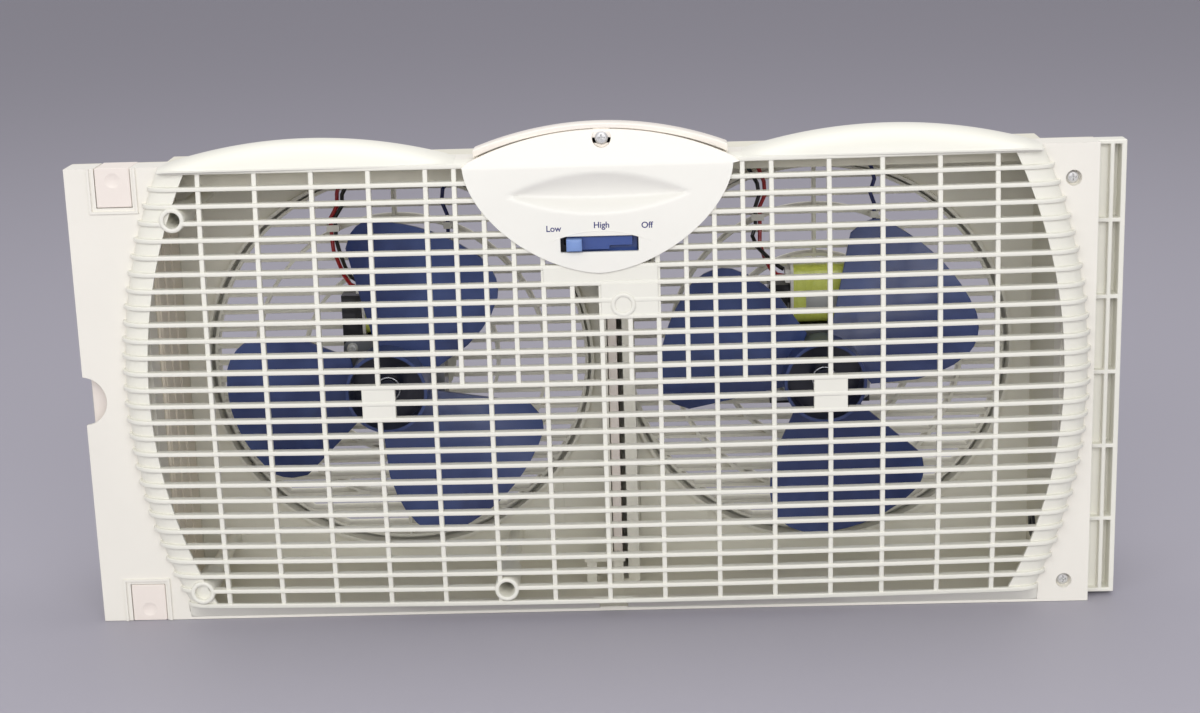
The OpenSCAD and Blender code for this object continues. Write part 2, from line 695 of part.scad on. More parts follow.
module control_panel() color("floralwhite") translate([grille_x, 0, 0]) {
    ledge_y = face_y + dome(0, crease_z) - shield_proud + 0.5;
    difference() {
        union() {
            // the shield's face, a shell that follows the dome
            intersection() {
                along_y(face_y - 6, face_y + shield_back + 4) shield_outline(0);
                along_x(-shield_half - 2, shield_half + 2) difference() {
                    dome_disc(shield_proud);
                    dome_disc(shield_proud - wall);
                }
            }
            // its side wall
            intersection() {
                along_y(face_y - 4, face_y + shield_back) difference() {
                    shield_outline(0);
                    translate([0, crease_z * (1 - 0.968)]) scale([0.968, 0.968]) shield_outline(0);
                }
                along_x(-shield_half - 2, shield_half + 2) dome_disc(shield_proud - 1);
            }
            // the bulge behind the dish
            intersection() {
                dish(2);
                along_x(-shield_half, shield_half) dome_disc(shield_proud - 1);
                along_y(face_y - 2, face_y + 30) shield_outline(-3);
            }
            // the crown's leaning face
            intersection() {
                along_y(face_y, back_y) crown_outline();
                along_x(-shield_half - 12, shield_half + 12) crown_face_profile();
            }
            // the ledge that closes the top of the grille behind the crease
            block([crown_x - crown_half - crown_flare, ledge_y, crease_z - 0.3],
                [crown_x + crown_half + crown_flare, plate_y, crease_z + 2.2]);
            // rails that hold the switch
            for (z = [slot_z - switch_h / 2 - switch_rail_t, slot_z + switch_h / 2])
                block([-switch_half, face_y + 3.5, z], [switch_half, switch_y + 12, z + switch_rail_t]);
        }
        dish(0);
        along_y(face_y - 6, switch_y - 2.5) translate([0, slot_z]) square([slot_w, slot_h], center = true);
        // room for the slider's tongue and strip in the side wall
        block([slot_w / 2 - 1.7, face_y + 4.6, tongue_z[0] - 0.6],
            [shield_half, face_y + shield_back + cut, tongue_z[1] + 0.6]);
        block([slot_w / 2 - 1.7, switch_y - strip_t - 0.8, strip_z[0] - 0.6],
            [shield_half, face_y + shield_back + cut, tongue_z[0]]);
        // shallow groove over the switch labels
        label_groove();
        rod_y(crown_screw_at, 5.2, face_y - 5, crown_seat_y);
        rod_y(crown_screw_at, screw_r + 0.3, face_y, crown_seat_y + 8);
    }
}

module label_groove() {
    along_y(face_y - 6, face_y + dome(0, slot_z + 6) - shield_proud + 0.6) intersection() {
        translate([0, slot_z + 7.2 - groove_r]) difference() {
            circle(groove_r + 0.5, $fn = 200);
            circle(groove_r - 0.5, $fn = 200);
        }
        panel([-32, slot_z - 2], [32, slot_z + 12]);
    }
}

module crown_cap() color("floralwhite") translate([grille_x, 0, 0]) {
    front_y = face_y + dome(0, crease_z) - shield_proud + 8.6;
    end_half = crown_half + 1.4;
    difference() {
        union() {
            along_y(front_y, plate_y + crown_back) intersection() {
                difference() {
                    translate([crown_x, crown_top - cap_r]) circle(cap_r, $fn = 360);
                    translate([crown_x, crown_cz]) circle(crown_r + 0.3, $fn = 360);
                }
                panel([crown_x - end_half, flange_h], [crown_x + end_half, crown_top + 1]);
            }
            // feet that stand on the flange's top wall, and the back that closes the hood
            along_y(plate_y, plate_y + crown_back) for (s = [-1, 1])
                panel([crown_x + min(s * end_half, s * (end_half - wall)), flange_h],
                    [crown_x + max(s * end_half, s * (end_half - wall)), flange_h + 4.5]);
            along_y(plate_y + crown_back - wall, plate_y + crown_back) intersection() {
                translate([crown_x, crown_cz]) circle(crown_r + 1, $fn = 360);
                panel([crown_x - end_half, flange_h], [crown_x + end_half, crown_top]);
            }
            rod_y(crown_screw_at, post_r - 0.6, crown_seat_y + wall, plate_y + crown_back - 1);
        }
        rod_y(crown_screw_at, screw_r + 0.02, crown_seat_y, plate_y + crown_back - wall);
    }
}

module crown_screw() color("silver") translate([grille_x, 0, 0])
    screw_y(crown_screw_at, crown_seat_y, 10, screw_r, screw_head_r);

module speed_slider() color("royalblue") translate([grille_x, 0, 0]) {
    tongue_y = face_y + 4.8;
    block([knob_x - knob_w / 2, tongue_y, tongue_z[0]], [-knob_x + 4.3, switch_y - slide_gap, tongue_z[1]]);
    block([knob_x - knob_w / 2, tongue_y, tongue_low],
        [tongue_low_right, switch_y - slide_gap, tongue_z[0] + cut]);
    block([knob_x - knob_w / 2, switch_y - slide_gap - strip_t, strip_z[0]],
        [strip_right, switch_y - slide_gap, strip_z[1]]);
    block([knob_x - knob_w / 2, face_y - knob_proud + 1.2, slot_z - knob_h / 2],
        [knob_x + knob_w / 2, tongue_y + 0.5, slot_z + knob_h / 2]);
    // the knob's rounded nose
    intersection() {
        block([knob_x - knob_w / 2 + 0.4, face_y - knob_proud, slot_z - knob_h / 2 + 0.4],
            [knob_x + knob_w / 2 - 0.4, tongue_y, slot_z + knob_h / 2 - 0.4]);
        translate([knob_x, face_y - knob_proud + 8, 0]) cylinder(r = 8, h = crown_top);
    }
    // the stem that works the switch
    block([knob_x - stem_half, tongue_y + 2, slot_z - 1.4], [knob_x + stem_half, switch_y + 4, slot_z + 1.4]);
}

module switch_body() color("dimgray") translate([grille_x, 0, 0]) difference() {
    block([-switch_half, switch_y, slot_z - switch_h / 2],
        [switch_half, switch_y + switch_d, slot_z + switch_h / 2]);
    // the slot in which the slider's stem runs
    stem_run = speed_travel / 2 + stem_half + 3.5;
    block([-stem_run, switch_y - cut, slot_z - 1.8], [stem_run, switch_y + 5, slot_z + 1.8]);
}

// ---------- inside ----------

module orifice_plate() color("gainsboro") translate([grille_x, 0, 0]) {
    difference() {
        union() {
            block([-inner_half, orifice_y, wall], [inner_half, orifice_y + wall, shell_h - wall]);
            for (s = [-1, 1]) rod_y([s * fan_dx, fan_z], orifice_r + lip_t, orifice_y - lip_d, orifice_y + 1);
            // two low raised pads beside the divider
            block([-30, orifice_y - 1, 20], [divider_left[0] - 1, orifice_y + 1, 60]);
            block([divider_right[1] + 1, orifice_y - 1, 20], [60, orifice_y + 1, 60]);
            for (at = front_wells) rod_y(at, post_r, back_y, orifice_y + 1);
        }
        for (s = [-1, 1])
            rod_y([s * fan_dx, fan_z], orifice_r, orifice_y - lip_d - cut, orifice_y + wall + cut);
        for (at = front_wells) rod_y(at, screw_r + 0.02, back_y - cut, back_y + 26);
    }
}

// The rear guard's pattern for one fan, in x and z.
guard_ring_r = orifice_r - 2;
guard_inner_rings = [60, 90];
module guard_pattern() {
    ring_t = 2;
    intersection() {
        union() {
            rows = floor(guard_ring_r / slat_pitch);
            for (k = [-rows : rows]) translate([0, k * slat_pitch])
                square([2 * guard_ring_r, slat_t], center = true);
            square([ring_t, 2 * guard_ring_r], center = true);
            for (r = guard_inner_rings) difference() {
                circle(r + ring_t / 2);
                circle(r - ring_t / 2);
            }
        }
        circle(guard_ring_r - ring_t / 2);
    }
    difference() {
        circle(guard_ring_r);
        circle(guard_ring_r - ring_t);
    }
}

module rear_grille() color("gainsboro") translate([grille_x, 0, 0]) {
    difference() {
        union() {
            along_y(guard_y, rear_y) for (s = [-1, 1]) translate([s * fan_dx, fan_z]) guard_pattern();
            along_y(rear_y - rear_plate_t, rear_y) difference() {
                panel([-inner_half, wall], [inner_half, shell_h - wall]);
                for (s = [-1, 1]) translate([s * fan_dx, fan_z]) circle(guard_ring_r - 0.5);
            }
            along_y(orifice_y + wall, rear_y - 1) difference() {
                panel([-inner_half, wall], [inner_half, shell_h - wall]);
                panel([-inner_half + 2, wall + 2], [inner_half - 2, shell_h - wall - 2]);
            }
            for (s = [-1, 1]) {
                rod_y([s * fan_dx, fan_z], motor_disc_r, guard_y - 0.5, guard_y + 2);
                for (sx = [-1, 1], sz = [-1, 1])
                    rod_y([s * fan_dx + sx * motor_screw_at[0], fan_z + sz * motor_screw_at[1]],
                        post_r - 0.3, motor_post_y, guard_y + 1);
            }
        }
        for (s = [-1, 1], sx = [-1, 1], sz = [-1, 1])
            rod_y([s * fan_dx + sx * motor_screw_at[0], fan_z + sz * motor_screw_at[1]],
                motor_screw_r + 0.02, motor_post_y - cut, guard_y + 5);
    }
}

module centre_divider() color("lightgray") translate([grille_x, 0, 0]) difference() {
    union() {
        block([divider_left[0], divider_y, wall], [divider_left[1], divider_back, divider_h]);
        block([divider_right[0], divider_y, wall], [divider_right[1], divider_back, divider_h]);
        block([divider_left[0], divider_back - 3, wall], [divider_right[1], divider_back, divider_h]);
        block([divider_left[0], divider_y, wall], [divider_right[1], divider_back, wall + 2.5]);
        rod_y(divider_well, post_r, back_y, divider_y + 20);
    }
    rod_y(divider_well, screw_r + 0.02, back_y - cut, back_y + 26);
}

module divider_strip() color("mistyrose") translate([grille_x, 0, 0])
    block([divider_left[1] + 0.5, divider_y + 2, wall + 2.5], [6.8, divider_back - 3, divider_h - 6]);

module divider_bracket() color("lightgray") translate([grille_x + bracket_x, 0, 0]) difference() {
    union() {
        block([-12.2, divider_y - 10, bracket_z], [12.2, divider_y, bracket_z + 2]);
        for (s = [-1, 1]) block([min(s * 5, s * 11), divider_y - 9, wall],
            [max(s * 5, s * 11), divider_y - 1, bracket_z + 1]);
    }
    for (s = [-1, 1]) translate([s * bracket_screw_dx, divider_y - 5, bracket_z - 10])
        cylinder(r = screw_r + 0.02, h = 20);
}

// Two screws that stand upright in the bracket.
module divider_screws() color("silver") translate([grille_x + bracket_x, divider_y - 5, bracket_z + 2])
    for (s = [-1, 1]) translate([s * bracket_screw_dx, 0, 0]) rotate([-90, 0, 0])
        screw_y([0, 0], 0, 9, screw_r, screw_head_r);

module grille_screws() color("silver") translate([grille_x, 0, 0])
    for (at = concat(front_wells, [divider_well]))
        screw_y(at, back_y - well_floor, 22, screw_r, screw_head_r);

module plate_screws() color("silver") translate([grille_x, 0, 0])
    for (at = plate_wells) screw_y(at, plate_y + 5, 12, screw_r, screw_head_r);

module left_side_liner() color("mistyrose") translate([grille_x - inner_half, 0, 0]) difference() {
    block([0, back_y, wall], [1.6, orifice_y - 8, shell_h - 6]);
    for (y = [back_y + 1, back_y + 19.5, back_y + 39]) block([-cut, y, 20], [3, y + 4.5, shell_h - 11]);
}

module cord_inlet() color("gainsboro") translate([grille_x + inner_half, inlet_y, inlet_z]) rotate([0, 90, 0])
    difference() {
        union() {
            cylinder(r = inlet_r, h = wall);
            translate([0, 0, wall]) cylinder(r = inlet_r + 2, h = 1.6);
            translate([0, 0, -1.6]) cylinder(r = inlet_r + 1.6, h = 1.6);
        }
        translate([0, 0, -3]) cylinder(r = inlet_bore_r, h = 10);
    }

// ---------- window fit ----------

module left_extender() color("mistyrose") translate([grille_x, 0, 0]) {
    z0 = wall + slide_gap;
    z1 = flange_h - wall - slide_gap;
    block([left_panel_edge, guide_y, z0],
        [left_panel_edge + left_travel + panel_hold, guide_y + slide_t, z1]);
    block([left_panel_edge, guide_y + 1, z0 + 6], [left_panel_edge + 2.5, guide_y + 7, z1 - 6]);
}

module right_extender() color("ivory") translate([grille_x, 0, 0]) {
    z0 = wall + slide_gap;
    z1 = flange_h - wall - slide_gap;
    rail_z0 = 2;
    difference() {
        union() {
            block([chamber_half + 2.35, guide_y, z0], [rail_left + 1, guide_y + slide_t, z1]);
            block([rail_left, rail_y, rail_z0], [rail_right, back_y, flange_h - 0.3]);
        }
        // two upright channels, the outer one deeper, with a rung between their cells
        pitch = (flange_h - 0.3 - rail_z0 - 2.4) / rail_cells;
        for (k = [0 : rail_cells - 1]) let (z = rail_z0 + 2.4 + k * pitch) {
            block([rail_left + 1.6, rail_y - cut, z], [rail_left + 7.1, rail_y + 4.5, z + pitch - 2.4]);
            block([rail_left + 9.6, rail_y - cut, z], [rail_right - 3, back_y - 2, z + pitch - 2.4]);
        }
        // slots that clear the two screw posts behind the flange
        for (at = plate_wells) block([at[0] - right_travel - post_r - 1, guide_y - cut, at[1] - post_r - 0.7],
            [at[0] + post_r + 1, guide_y + slide_t + cut, at[1] + post_r + 0.7]);
    }
}

// A sash lock: a front leg flush with the flange, a bridge over its edge and a short back leg.
module lock_tab() color("mistyrose") difference() {
    union() {
        block([lock_x[0], plate_y, flange_h - lock_h], [lock_x[1], plate_y + wall, flange_h]);
        block([lock_x[0], plate_y, flange_h - wall], [lock_x[1], back_y + slide_gap + lock_leg_t, flange_h]);
        block([lock_x[0], back_y + slide_gap, flange_h - lock_travel - lock_hold],
            [lock_x[1], back_y + slide_gap + lock_leg_t, flange_h]);
    }
    // thumb dimple
    translate([(lock_x[0] + lock_x[1]) / 2, plate_y - 10.8, flange_h - 7]) sphere(r = 11.6);
}

module upper_lock_tab() translate([grille_x, 0, 0]) lock_tab();
module lower_lock_tab() translate([grille_x, 0, 0]) at_bottom() lock_tab();

// ---------- fans ----------

// A blade's outline for a blade that points along +x, as seen from the room, in shares of the tip's radius.
module blade_outline() {
    trail = [[0.19, -0.225], [0.415, -0.38], [0.542, -0.432], [0.646, -0.458], [0.755, -0.4625],
        [0.8125, -0.448], [0.861, -0.42], [0.906, -0.378], [0.941, -0.324]];
    tip = [for (a = [-17 : 5 : 23]) [cos(a), sin(a)]];
    lead_corner = [[0.896, 0.441], [0.875, 0.475], [0.8385, 0.502], [0.792, 0.52], [0.74, 0.529],
        [0.6875, 0.525]];
    difference() {
        polygon(tip_r * concat(trail, tip, lead_corner, [[0.19, 0.154]]));
        circle(hub_r - 1.2);
    }
}

// A thin cambered shell along x, tilted by the pitch.
module blade_shell() {
    camber_r = 200;
    rotate([-blade_pitch, 0, 0]) translate([0, camber_r, 0]) rotate([0, 90, 0]) difference() {
        cylinder(r = camber_r + blade_t / 2, h = tip_r + 20, $fn = 360);
        translate([0, 0, -cut]) cylinder(r = camber_r - blade_t / 2, h = tip_r + 20 + 2 * cut, $fn = 360);
    }
}

module fan_blades(turn) {
    hub_front = fan_y - 19.3;
    hub_back = fan_y + 6;
    floor_y = fan_y;
    difference() {
        union() {
            for (k = [0 : 2]) translate([0, fan_y, 0]) rotate([0, -(turn + 120 * k), 0]) intersection() {
                along_y(-20, 20) blade_outline();
                blade_shell();
            }
            // the hub, a bowl open to the room
            difference() {
                rod_y([0, 0], hub_r, hub_front, hub_back);
                rod_y([0, 0], hub_r - 2, hub_front - cut, floor_y);
                rod_y([0, 0], hub_r - 2, floor_y + 2, hub_back + cut);
            }
            rod_y([0, 0], 6, fan_y - 12, fan_y + 10);
        }
        rod_y([0, 0], shaft_r + 0.01, fan_y - 14, fan_y + 12);
    }
}

module hub_clip() translate([0, fan_y - 9, 0]) rotate([90, 0, 0])
    rotate_extrude($fn = small_fn) translate([6.8, 0]) circle(0.8, $fn = 20);

module motor_shaft() rod_y([0, 0], shaft_r, fan_y - 10, motor_post_y + bush_l);

module rotor() difference() {
    rod_y([0, 0], rotor_r, motor_y + 1, motor_y + stack_d - 1);
    rod_y([0, 0], shaft_r + 0.01, motor_y, motor_y + stack_d);
}

// Laminations: a pole block round the rotor, two legs and a yoke on top.
module stator() difference() {
    along_y(motor_y, motor_y + stack_d) difference() {
        panel([-stack_w / 2, -24], [stack_w / 2, stack_top]);
        panel([-window_half, 24], [window_half, stack_top - yoke_t]);
    }
    rod_y([0, 0], bore_r, motor_y - cut, motor_y + stack_d + cut);
    for (sx = [-1, 1], sz = [-1, 1]) rod_y([sx * motor_screw_at[0], sz * motor_screw_at[1]],
        motor_screw_r + 0.1, motor_y - cut, motor_y + stack_d + cut);
}

// Centre of the coil round the yoke, in y and z.
coil_y = motor_y + stack_d / 2;
coil_z = stack_top - yoke_t / 2;
module coil_section(grow_y, grow_z, r) translate([coil_y, coil_z])
    rounded(stack_d + 2 * grow_y, yoke_t + 2 * grow_z, r);

// The bobbin: a sleeve round the yoke with two end flanges and a terminal block.
module bobbin() {
    difference() {
        union() {
            along_x(-coil_half_w - bobbin_t, coil_half_w + bobbin_t) coil_section(sleeve_t, sleeve_t, 2);
            for (s = [-1, 1]) along_x(min(s * coil_half_w, s * (coil_half_w + bobbin_t)),
                max(s * coil_half_w, s * (coil_half_w + bobbin_t)))
                intersection() {
                    coil_section(winding_y + 0.8, winding_z + 1, 4);
                    panel([-100, 24.4], [100, 64]);
                }
            block([-coil_half_w - bobbin_t - 3, coil_y - 14, stack_top + 2],
                [-coil_half_w - bobbin_t + 0.5, coil_y - 2, stack_top + 10]);
        }
        along_x(-30, 30) coil_section(0.15, 0.15, 0.5);
    }
}

module coil() difference() {
    along_x(-coil_half_w, coil_half_w) intersection() {
        coil_section(winding_y, winding_z, 6);
        panel([-100, 24.8], [100, 64]);
    }
    along_x(-coil_half_w - 1, coil_half_w + 1) coil_section(sleeve_t, sleeve_t, 2);
}

module bracket_outline() difference() {
    rounded(2 * motor_screw_at[0] + 11, 2 * motor_screw_at[1] + 10, 5);
    for (s = [-1, 1]) translate([s * 16, 0]) rounded(7, 22, 3);
}

// A motor bracket whose plate is at plate and whose bush cup reaches to cup.
module motor_bracket(y0, y1, cup0, cup1) difference() {
    union() {
        along_y(y0, y1) bracket_outline();
        rod_y([0, 0], cup_r, cup0, cup1);
    }
    rod_y([0, 0], bush_r, min(y0, cup0) - cut, max(y1, cup1) + cut);
    for (sx = [-1, 1], sz = [-1, 1]) rod_y([sx * motor_screw_at[0], sz * motor_screw_at[1]],
        motor_screw_r + 0.1, y0 - cut, y1 + cut);
}
module front_bracket() motor_bracket(front_bracket_y, motor_y, motor_y - bush_l - 1, motor_y);
module rear_bracket()
    motor_bracket(rear_bracket_y, motor_post_y, rear_bracket_y, rear_bracket_y + bush_l + 1);

module bushes() for (y = [motor_y - bush_l, rear_bracket_y]) difference() {
    rod_y([0, 0], bush_r, y, y + bush_l);
    rod_y([0, 0], shaft_r + shaft_fit, y - cut, y + bush_l + cut);
}

module motor_screws() for (sx = [-1, 1], sz = [-1, 1])
    screw_y([sx * motor_screw_at[0], sz * motor_screw_at[1]], front_bracket_y, stack_d + 2 * bracket_t + 10,
        motor_screw_r, 3.3);

// Sets a motor or fan piece on the left or the right fan's axis.
module on_left() translate([grille_x - fan_dx, 0, fan_z]) children();
module on_right() translate([grille_x + fan_dx, 0, fan_z]) children();

module left_blades() color("midnightblue") on_left() fan_blades(left_turn);
module left_hub_clip() color("silver") on_left() hub_clip();
module left_shaft() color("silver") on_left() motor_shaft();
module left_rotor() color("silver") on_left() rotor();
module left_stator() color("dimgray") on_left() stator();
module left_bobbin() color("white") on_left() bobbin();
module left_coil() color("yellowgreen") on_left() coil();
module left_front_bracket() color("silver") on_left() front_bracket();
module left_rear_bracket() color("silver") on_left() rear_bracket();
module left_bushes() color("peru") on_left() bushes();
module left_motor_screws() color("silver") on_left() motor_screws();
module right_blades() color("midnightblue") on_right() fan_blades(right_turn);
module right_hub_clip() color("silver") on_right() hub_clip();
module right_shaft() color("silver") on_right() motor_shaft();
module right_rotor() color("silver") on_right() rotor();
module right_stator() color("dimgray") on_right() stator();
module right_bobbin() color("white") on_right() bobbin();
module right_coil() color("yellowgreen") on_right() coil();
module right_front_bracket() color("silver") on_right() front_bracket();
module right_rear_bracket() color("silver") on_right() rear_bracket();
module right_bushes() color("peru") on_right() bushes();
module right_motor_screws() color("silver") on_right() motor_screws();

module left_red_lead() color("red") translate([grille_x, 0, 0]) lead(left_red_route, lead_r);
module left_black_lead() color("black") translate([grille_x, 0, 0]) lead(left_black_route, lead_r);
module left_blue_lead() color("navy") translate([grille_x, 0, 0]) lead(left_blue_route, lead_r);
module right_red_lead() color("red") translate([grille_x, 0, 0]) lead(right_red_route, lead_r);
module right_black_lead() color("black") translate([grille_x, 0, 0]) lead(right_black_route, lead_r);
module right_blue_lead() color("navy") translate([grille_x, 0, 0]) lead(right_blue_route, lead_r);

// Clips that hold the leads to a slat of the rear guard.
module lead_clips() color("white") translate([grille_x, lead_y, clip_z])
    for (c = clips) translate([c[0], 0, 0]) difference() {
        half_w = c[1] / 2 + clip_wall;
        half_d = clip_slot_half + clip_wall;
        union() {
            block([-half_w, -half_d, -slat_t], [half_w, half_d, slat_t]);
            block([-clip_wall, clip_slot_half, -slat_t / 2], [clip_wall, guard_y - lead_y, slat_t / 2]);
        }
        block([-c[1] / 2, -clip_slot_half, -slat_t - cut], [c[1] / 2, clip_slot_half, slat_t + cut]);
    }

front_grille();
front_frame();
control_panel();
crown_cap();
crown_screw();
speed_slider();
switch_body();
rear_housing();
orifice_plate();
rear_grille();
centre_divider();
divider_strip();
divider_bracket();
divider_screws();
grille_screws();
plate_screws();
left_side_liner();
left_extender();
right_extender();
upper_lock_tab();
lower_lock_tab();
cord_inlet();
lead_clips();
left_blades();
left_hub_clip();
left_shaft();
left_rotor();
left_stator();
left_bobbin();
left_coil();
left_front_bracket();
left_rear_bracket();
left_bushes();
left_motor_screws();
left_red_lead();
left_black_lead();
left_blue_lead();
right_blades();
right_hub_clip();
right_shaft();
right_rotor();
right_stator();
right_bobbin();
right_coil();
right_front_bracket();
right_rear_bracket();
right_bushes();
right_motor_screws();
right_red_lead();
right_black_lead();
right_blue_lead();
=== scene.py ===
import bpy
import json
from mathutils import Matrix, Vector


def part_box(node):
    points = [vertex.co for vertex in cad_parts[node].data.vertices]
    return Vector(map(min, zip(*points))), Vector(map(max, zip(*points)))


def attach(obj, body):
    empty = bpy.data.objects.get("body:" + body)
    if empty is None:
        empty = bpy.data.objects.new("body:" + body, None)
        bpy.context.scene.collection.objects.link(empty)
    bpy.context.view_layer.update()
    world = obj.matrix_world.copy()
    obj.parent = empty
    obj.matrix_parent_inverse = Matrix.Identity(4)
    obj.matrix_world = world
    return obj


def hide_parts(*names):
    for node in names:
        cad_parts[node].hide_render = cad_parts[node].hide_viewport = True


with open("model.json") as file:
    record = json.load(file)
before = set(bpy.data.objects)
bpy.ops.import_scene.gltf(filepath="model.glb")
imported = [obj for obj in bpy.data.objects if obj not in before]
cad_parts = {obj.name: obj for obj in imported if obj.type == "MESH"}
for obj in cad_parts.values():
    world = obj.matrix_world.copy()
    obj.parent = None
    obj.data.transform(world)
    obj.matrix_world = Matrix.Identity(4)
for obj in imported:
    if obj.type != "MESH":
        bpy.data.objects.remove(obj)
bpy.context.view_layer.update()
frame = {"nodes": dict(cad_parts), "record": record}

# %% [markdown]
# Blender works in metres here, and a fan is drawn in millimetres, so every size below is a number
# times `mm`. X runs along the window, Y from the room to outdoors, and Z up from the sill.
# The grille's middle is `grille_x` right of the origin, and the two fans turn `fan_dx` to either side of
# it, at the height `fan_z`.
# %% Modules and units
import json
import math

import bmesh
import bpy
from mathutils import Matrix, Vector

mm = 0.001
scene = bpy.context.scene
nodes = frame["nodes"]
grille_x, fan_dx, fan_z = 2.4, 128, 131.4

# %% [markdown]
# ## The camera
# The photograph looks slightly down and slightly from the right of the fan's middle. Three angles
# and a place say that in plain words: a heading to the left, a tilt down and a small roll.
# The lens follows from the focal length in pixels, because a sensor is as wide as the picture.
# %% Camera
image_w = 1200
focal_px = 2085.88
sensor_w = 36
heading, tilt, roll = 1.573, 14.253, 1.784
camera_at = (31.97, -1197.55, 448.36)


def make_camera():
    """The camera of the photograph, turned by heading, tilt and roll in degrees."""
    lens = bpy.data.cameras.new("photo_lens")
    lens.sensor_width = sensor_w
    lens.lens = focal_px / image_w * sensor_w
    holder = bpy.data.objects.new("photo_camera", lens)
    scene.collection.objects.link(holder)
    turn = Matrix.Rotation(math.radians(heading), 4, "Z")
    turn = turn @ Matrix.Rotation(math.radians(90 - tilt), 4, "X")
    turn = turn @ Matrix.Rotation(math.radians(-roll), 4, "Z")
    holder.matrix_world = Matrix.Translation(Vector(camera_at) * mm) @ turn
    scene.camera = holder
    return lens


lens = make_camera()
print("lens in mm:", round(lens.lens, 2))

# %% [markdown]
# ## A shorthand for shader nodes
# A material is a graph of nodes, and graphs are tedious to write link by link. `Wire` wraps one
# output of a node. Sums and products of wires add Math nodes, and `node` adds any other node:
# its settings are set first, then its sockets get their values or links. Two nodes that most finishes
# use have a short name of their own: `noise` and `axis`.
# %% Wires
class Wire:
    """One output socket of a node in a tree, which works in sums and products."""

    def __init__(self, tree, output=None):
        self.tree = tree
        self.output = output

    def node(self, kind, settings=None, sockets=None, out=0):
        """Adds a node with its settings and sockets, and gives the output that out names or numbers."""
        made = self.tree.nodes.new(kind)
        for name, value in (settings or {}).items():
            if name == "stops":
                set_stops(made.color_ramp, value)
            else:
                setattr(made, name, value)
        for key, value in (sockets or {}).items():
            if isinstance(value, Wire):
                self.tree.links.new(value.output, made.inputs[key])
            else:
                made.inputs[key].default_value = value
        return Wire(self.tree, made.outputs[out])

    def maths(self, operation, first, second):
        """One step of sums on two numbers or wires."""
        return self.node("ShaderNodeMath", {"operation": operation}, {0: first, 1: second})

    def noise(self, scale, detail, distortion=0.0):
        """Noise at this place, as a share from 0 to 1."""
        sockets = {"Vector": self, "Scale": scale, "Detail": detail, "Distortion": distortion}
        return self.node("ShaderNodeTexNoise", sockets=sockets)

    def axis(self, name):
        """The X, Y or Z of this place."""
        return self.node("ShaderNodeSeparateXYZ", sockets={0: self}, out=name)

    def __add__(self, other):
        return self.maths("ADD", self, other)

    def __sub__(self, other):
        return self.maths("SUBTRACT", self, other)

    def __rsub__(self, other):
        return self.maths("SUBTRACT", other, self)

    def __mul__(self, other):
        return self.maths("MULTIPLY", self, other)

    def __pow__(self, other):
        return self.maths("POWER", self, other)

    __radd__ = __add__
    __rmul__ = __mul__


def set_stops(ramp, stops):
    """Gives a colour ramp its stops, each a place from 0 to 1 and a colour."""
    while len(ramp.elements) < len(stops):
        ramp.elements.new(1)
    for element, (place, colour) in zip(ramp.elements, stops):
        element.position = place
        element.color = colour


def paint(red, green, blue):
    """A colour as a screen shows it, each part from 0 to 255, turned into the shader's linear light."""
    def linear(part):
        share = part / 255
        return share / 12.92 if share <= 0.04045 else ((share + 0.055) / 1.055) ** 2.4
    return (linear(red), linear(green), linear(blue), 1)


print("mid grey in linear light:", round(paint(128, 128, 128)[0], 3))

# %% [markdown]
# ## A soft studio
# A very large soft box near the camera throws light into the grille, a smaller one on the left gives the
# bars a bright and a dark side, and a third above lights the top. The floor is one wide disc. The world
# gives a little light of its own, and what the camera sees of it is the same grey as the floor.
# %% Soft boxes
def soft_box(name, place, aim, size, watts):
    """A rectangular lamp at a place, turned towards its aim."""
    lamp = bpy.data.lights.new(name, "AREA")
    lamp.shape = "RECTANGLE"
    lamp.size, lamp.size_y = size
    lamp.energy = watts
    holder = bpy.data.objects.new(name, lamp)
    scene.collection.objects.link(holder)
    holder.location = place
    holder.rotation_euler = (Vector(aim) - Vector(place)).to_track_quat("-Z", "Y").to_euler()


soft_box("front_light", (0.3, -2.5, 1.3), (0, 0, 0.13), (2.6, 1.5), 42)
soft_box("left_light", (-1.6, -1.9, 1.3), (0, 0, 0.13), (1.2, 1.2), 11)
soft_box("top_light", (0.1, 0.5, 2.1), (0, 0, 0.1), (2.2, 1.4), 18)
print("lamps:", len(bpy.data.lights))

# %% Floor and world
backdrop = paint(166, 163, 174)


def make_floor(radius=14, sides=64):
    """A wide disc under the fan, which isn't part of it."""
    drawing = bmesh.new()
    bmesh.ops.create_circle(drawing, cap_ends=True, radius=radius, segments=sides)
    mesh = bpy.data.meshes.new("studio_floor")
    drawing.to_mesh(mesh)
    drawing.free()
    floor = bpy.data.objects.new("studio_floor", mesh)
    scene.collection.objects.link(floor)
    floor.location.z = -0.2 * mm
    stuff = bpy.data.materials.new("studio_floor")
    stuff.use_nodes = True
    shader = stuff.node_tree.nodes["Principled BSDF"]
    shader.inputs["Base Color"].default_value = backdrop
    shader.inputs["Roughness"].default_value = 0.55
    mesh.materials.append(stuff)


def make_world(strength=0.52):
    """Even light from all round, and a plain backdrop for the camera, for gloss and for glass."""
    world = bpy.data.worlds.new("studio")
    scene.world = world
    world.use_nodes = True
    tree = world.node_tree
    tree.nodes.clear()
    start = Wire(tree)
    kinds = ("Camera", "Glossy", "Transmission")
    rays = [start.node("ShaderNodeLightPath", out=f"Is {kind} Ray") for kind in kinds]
    seen = start.node("ShaderNodeClamp", sockets={"Value": rays[0] + rays[1] + rays[2]})
    light = start.node("ShaderNodeBackground", sockets={"Color": (1, 1, 1, 1), "Strength": strength})
    shown = start.node("ShaderNodeBackground", sockets={"Color": backdrop, "Strength": 1})
    mixed = start.node("ShaderNodeMixShader", sockets={0: seen, 1: light, 2: shown})
    output = tree.nodes.new("ShaderNodeOutputWorld")
    tree.links.new(mixed.output, output.inputs["Surface"])


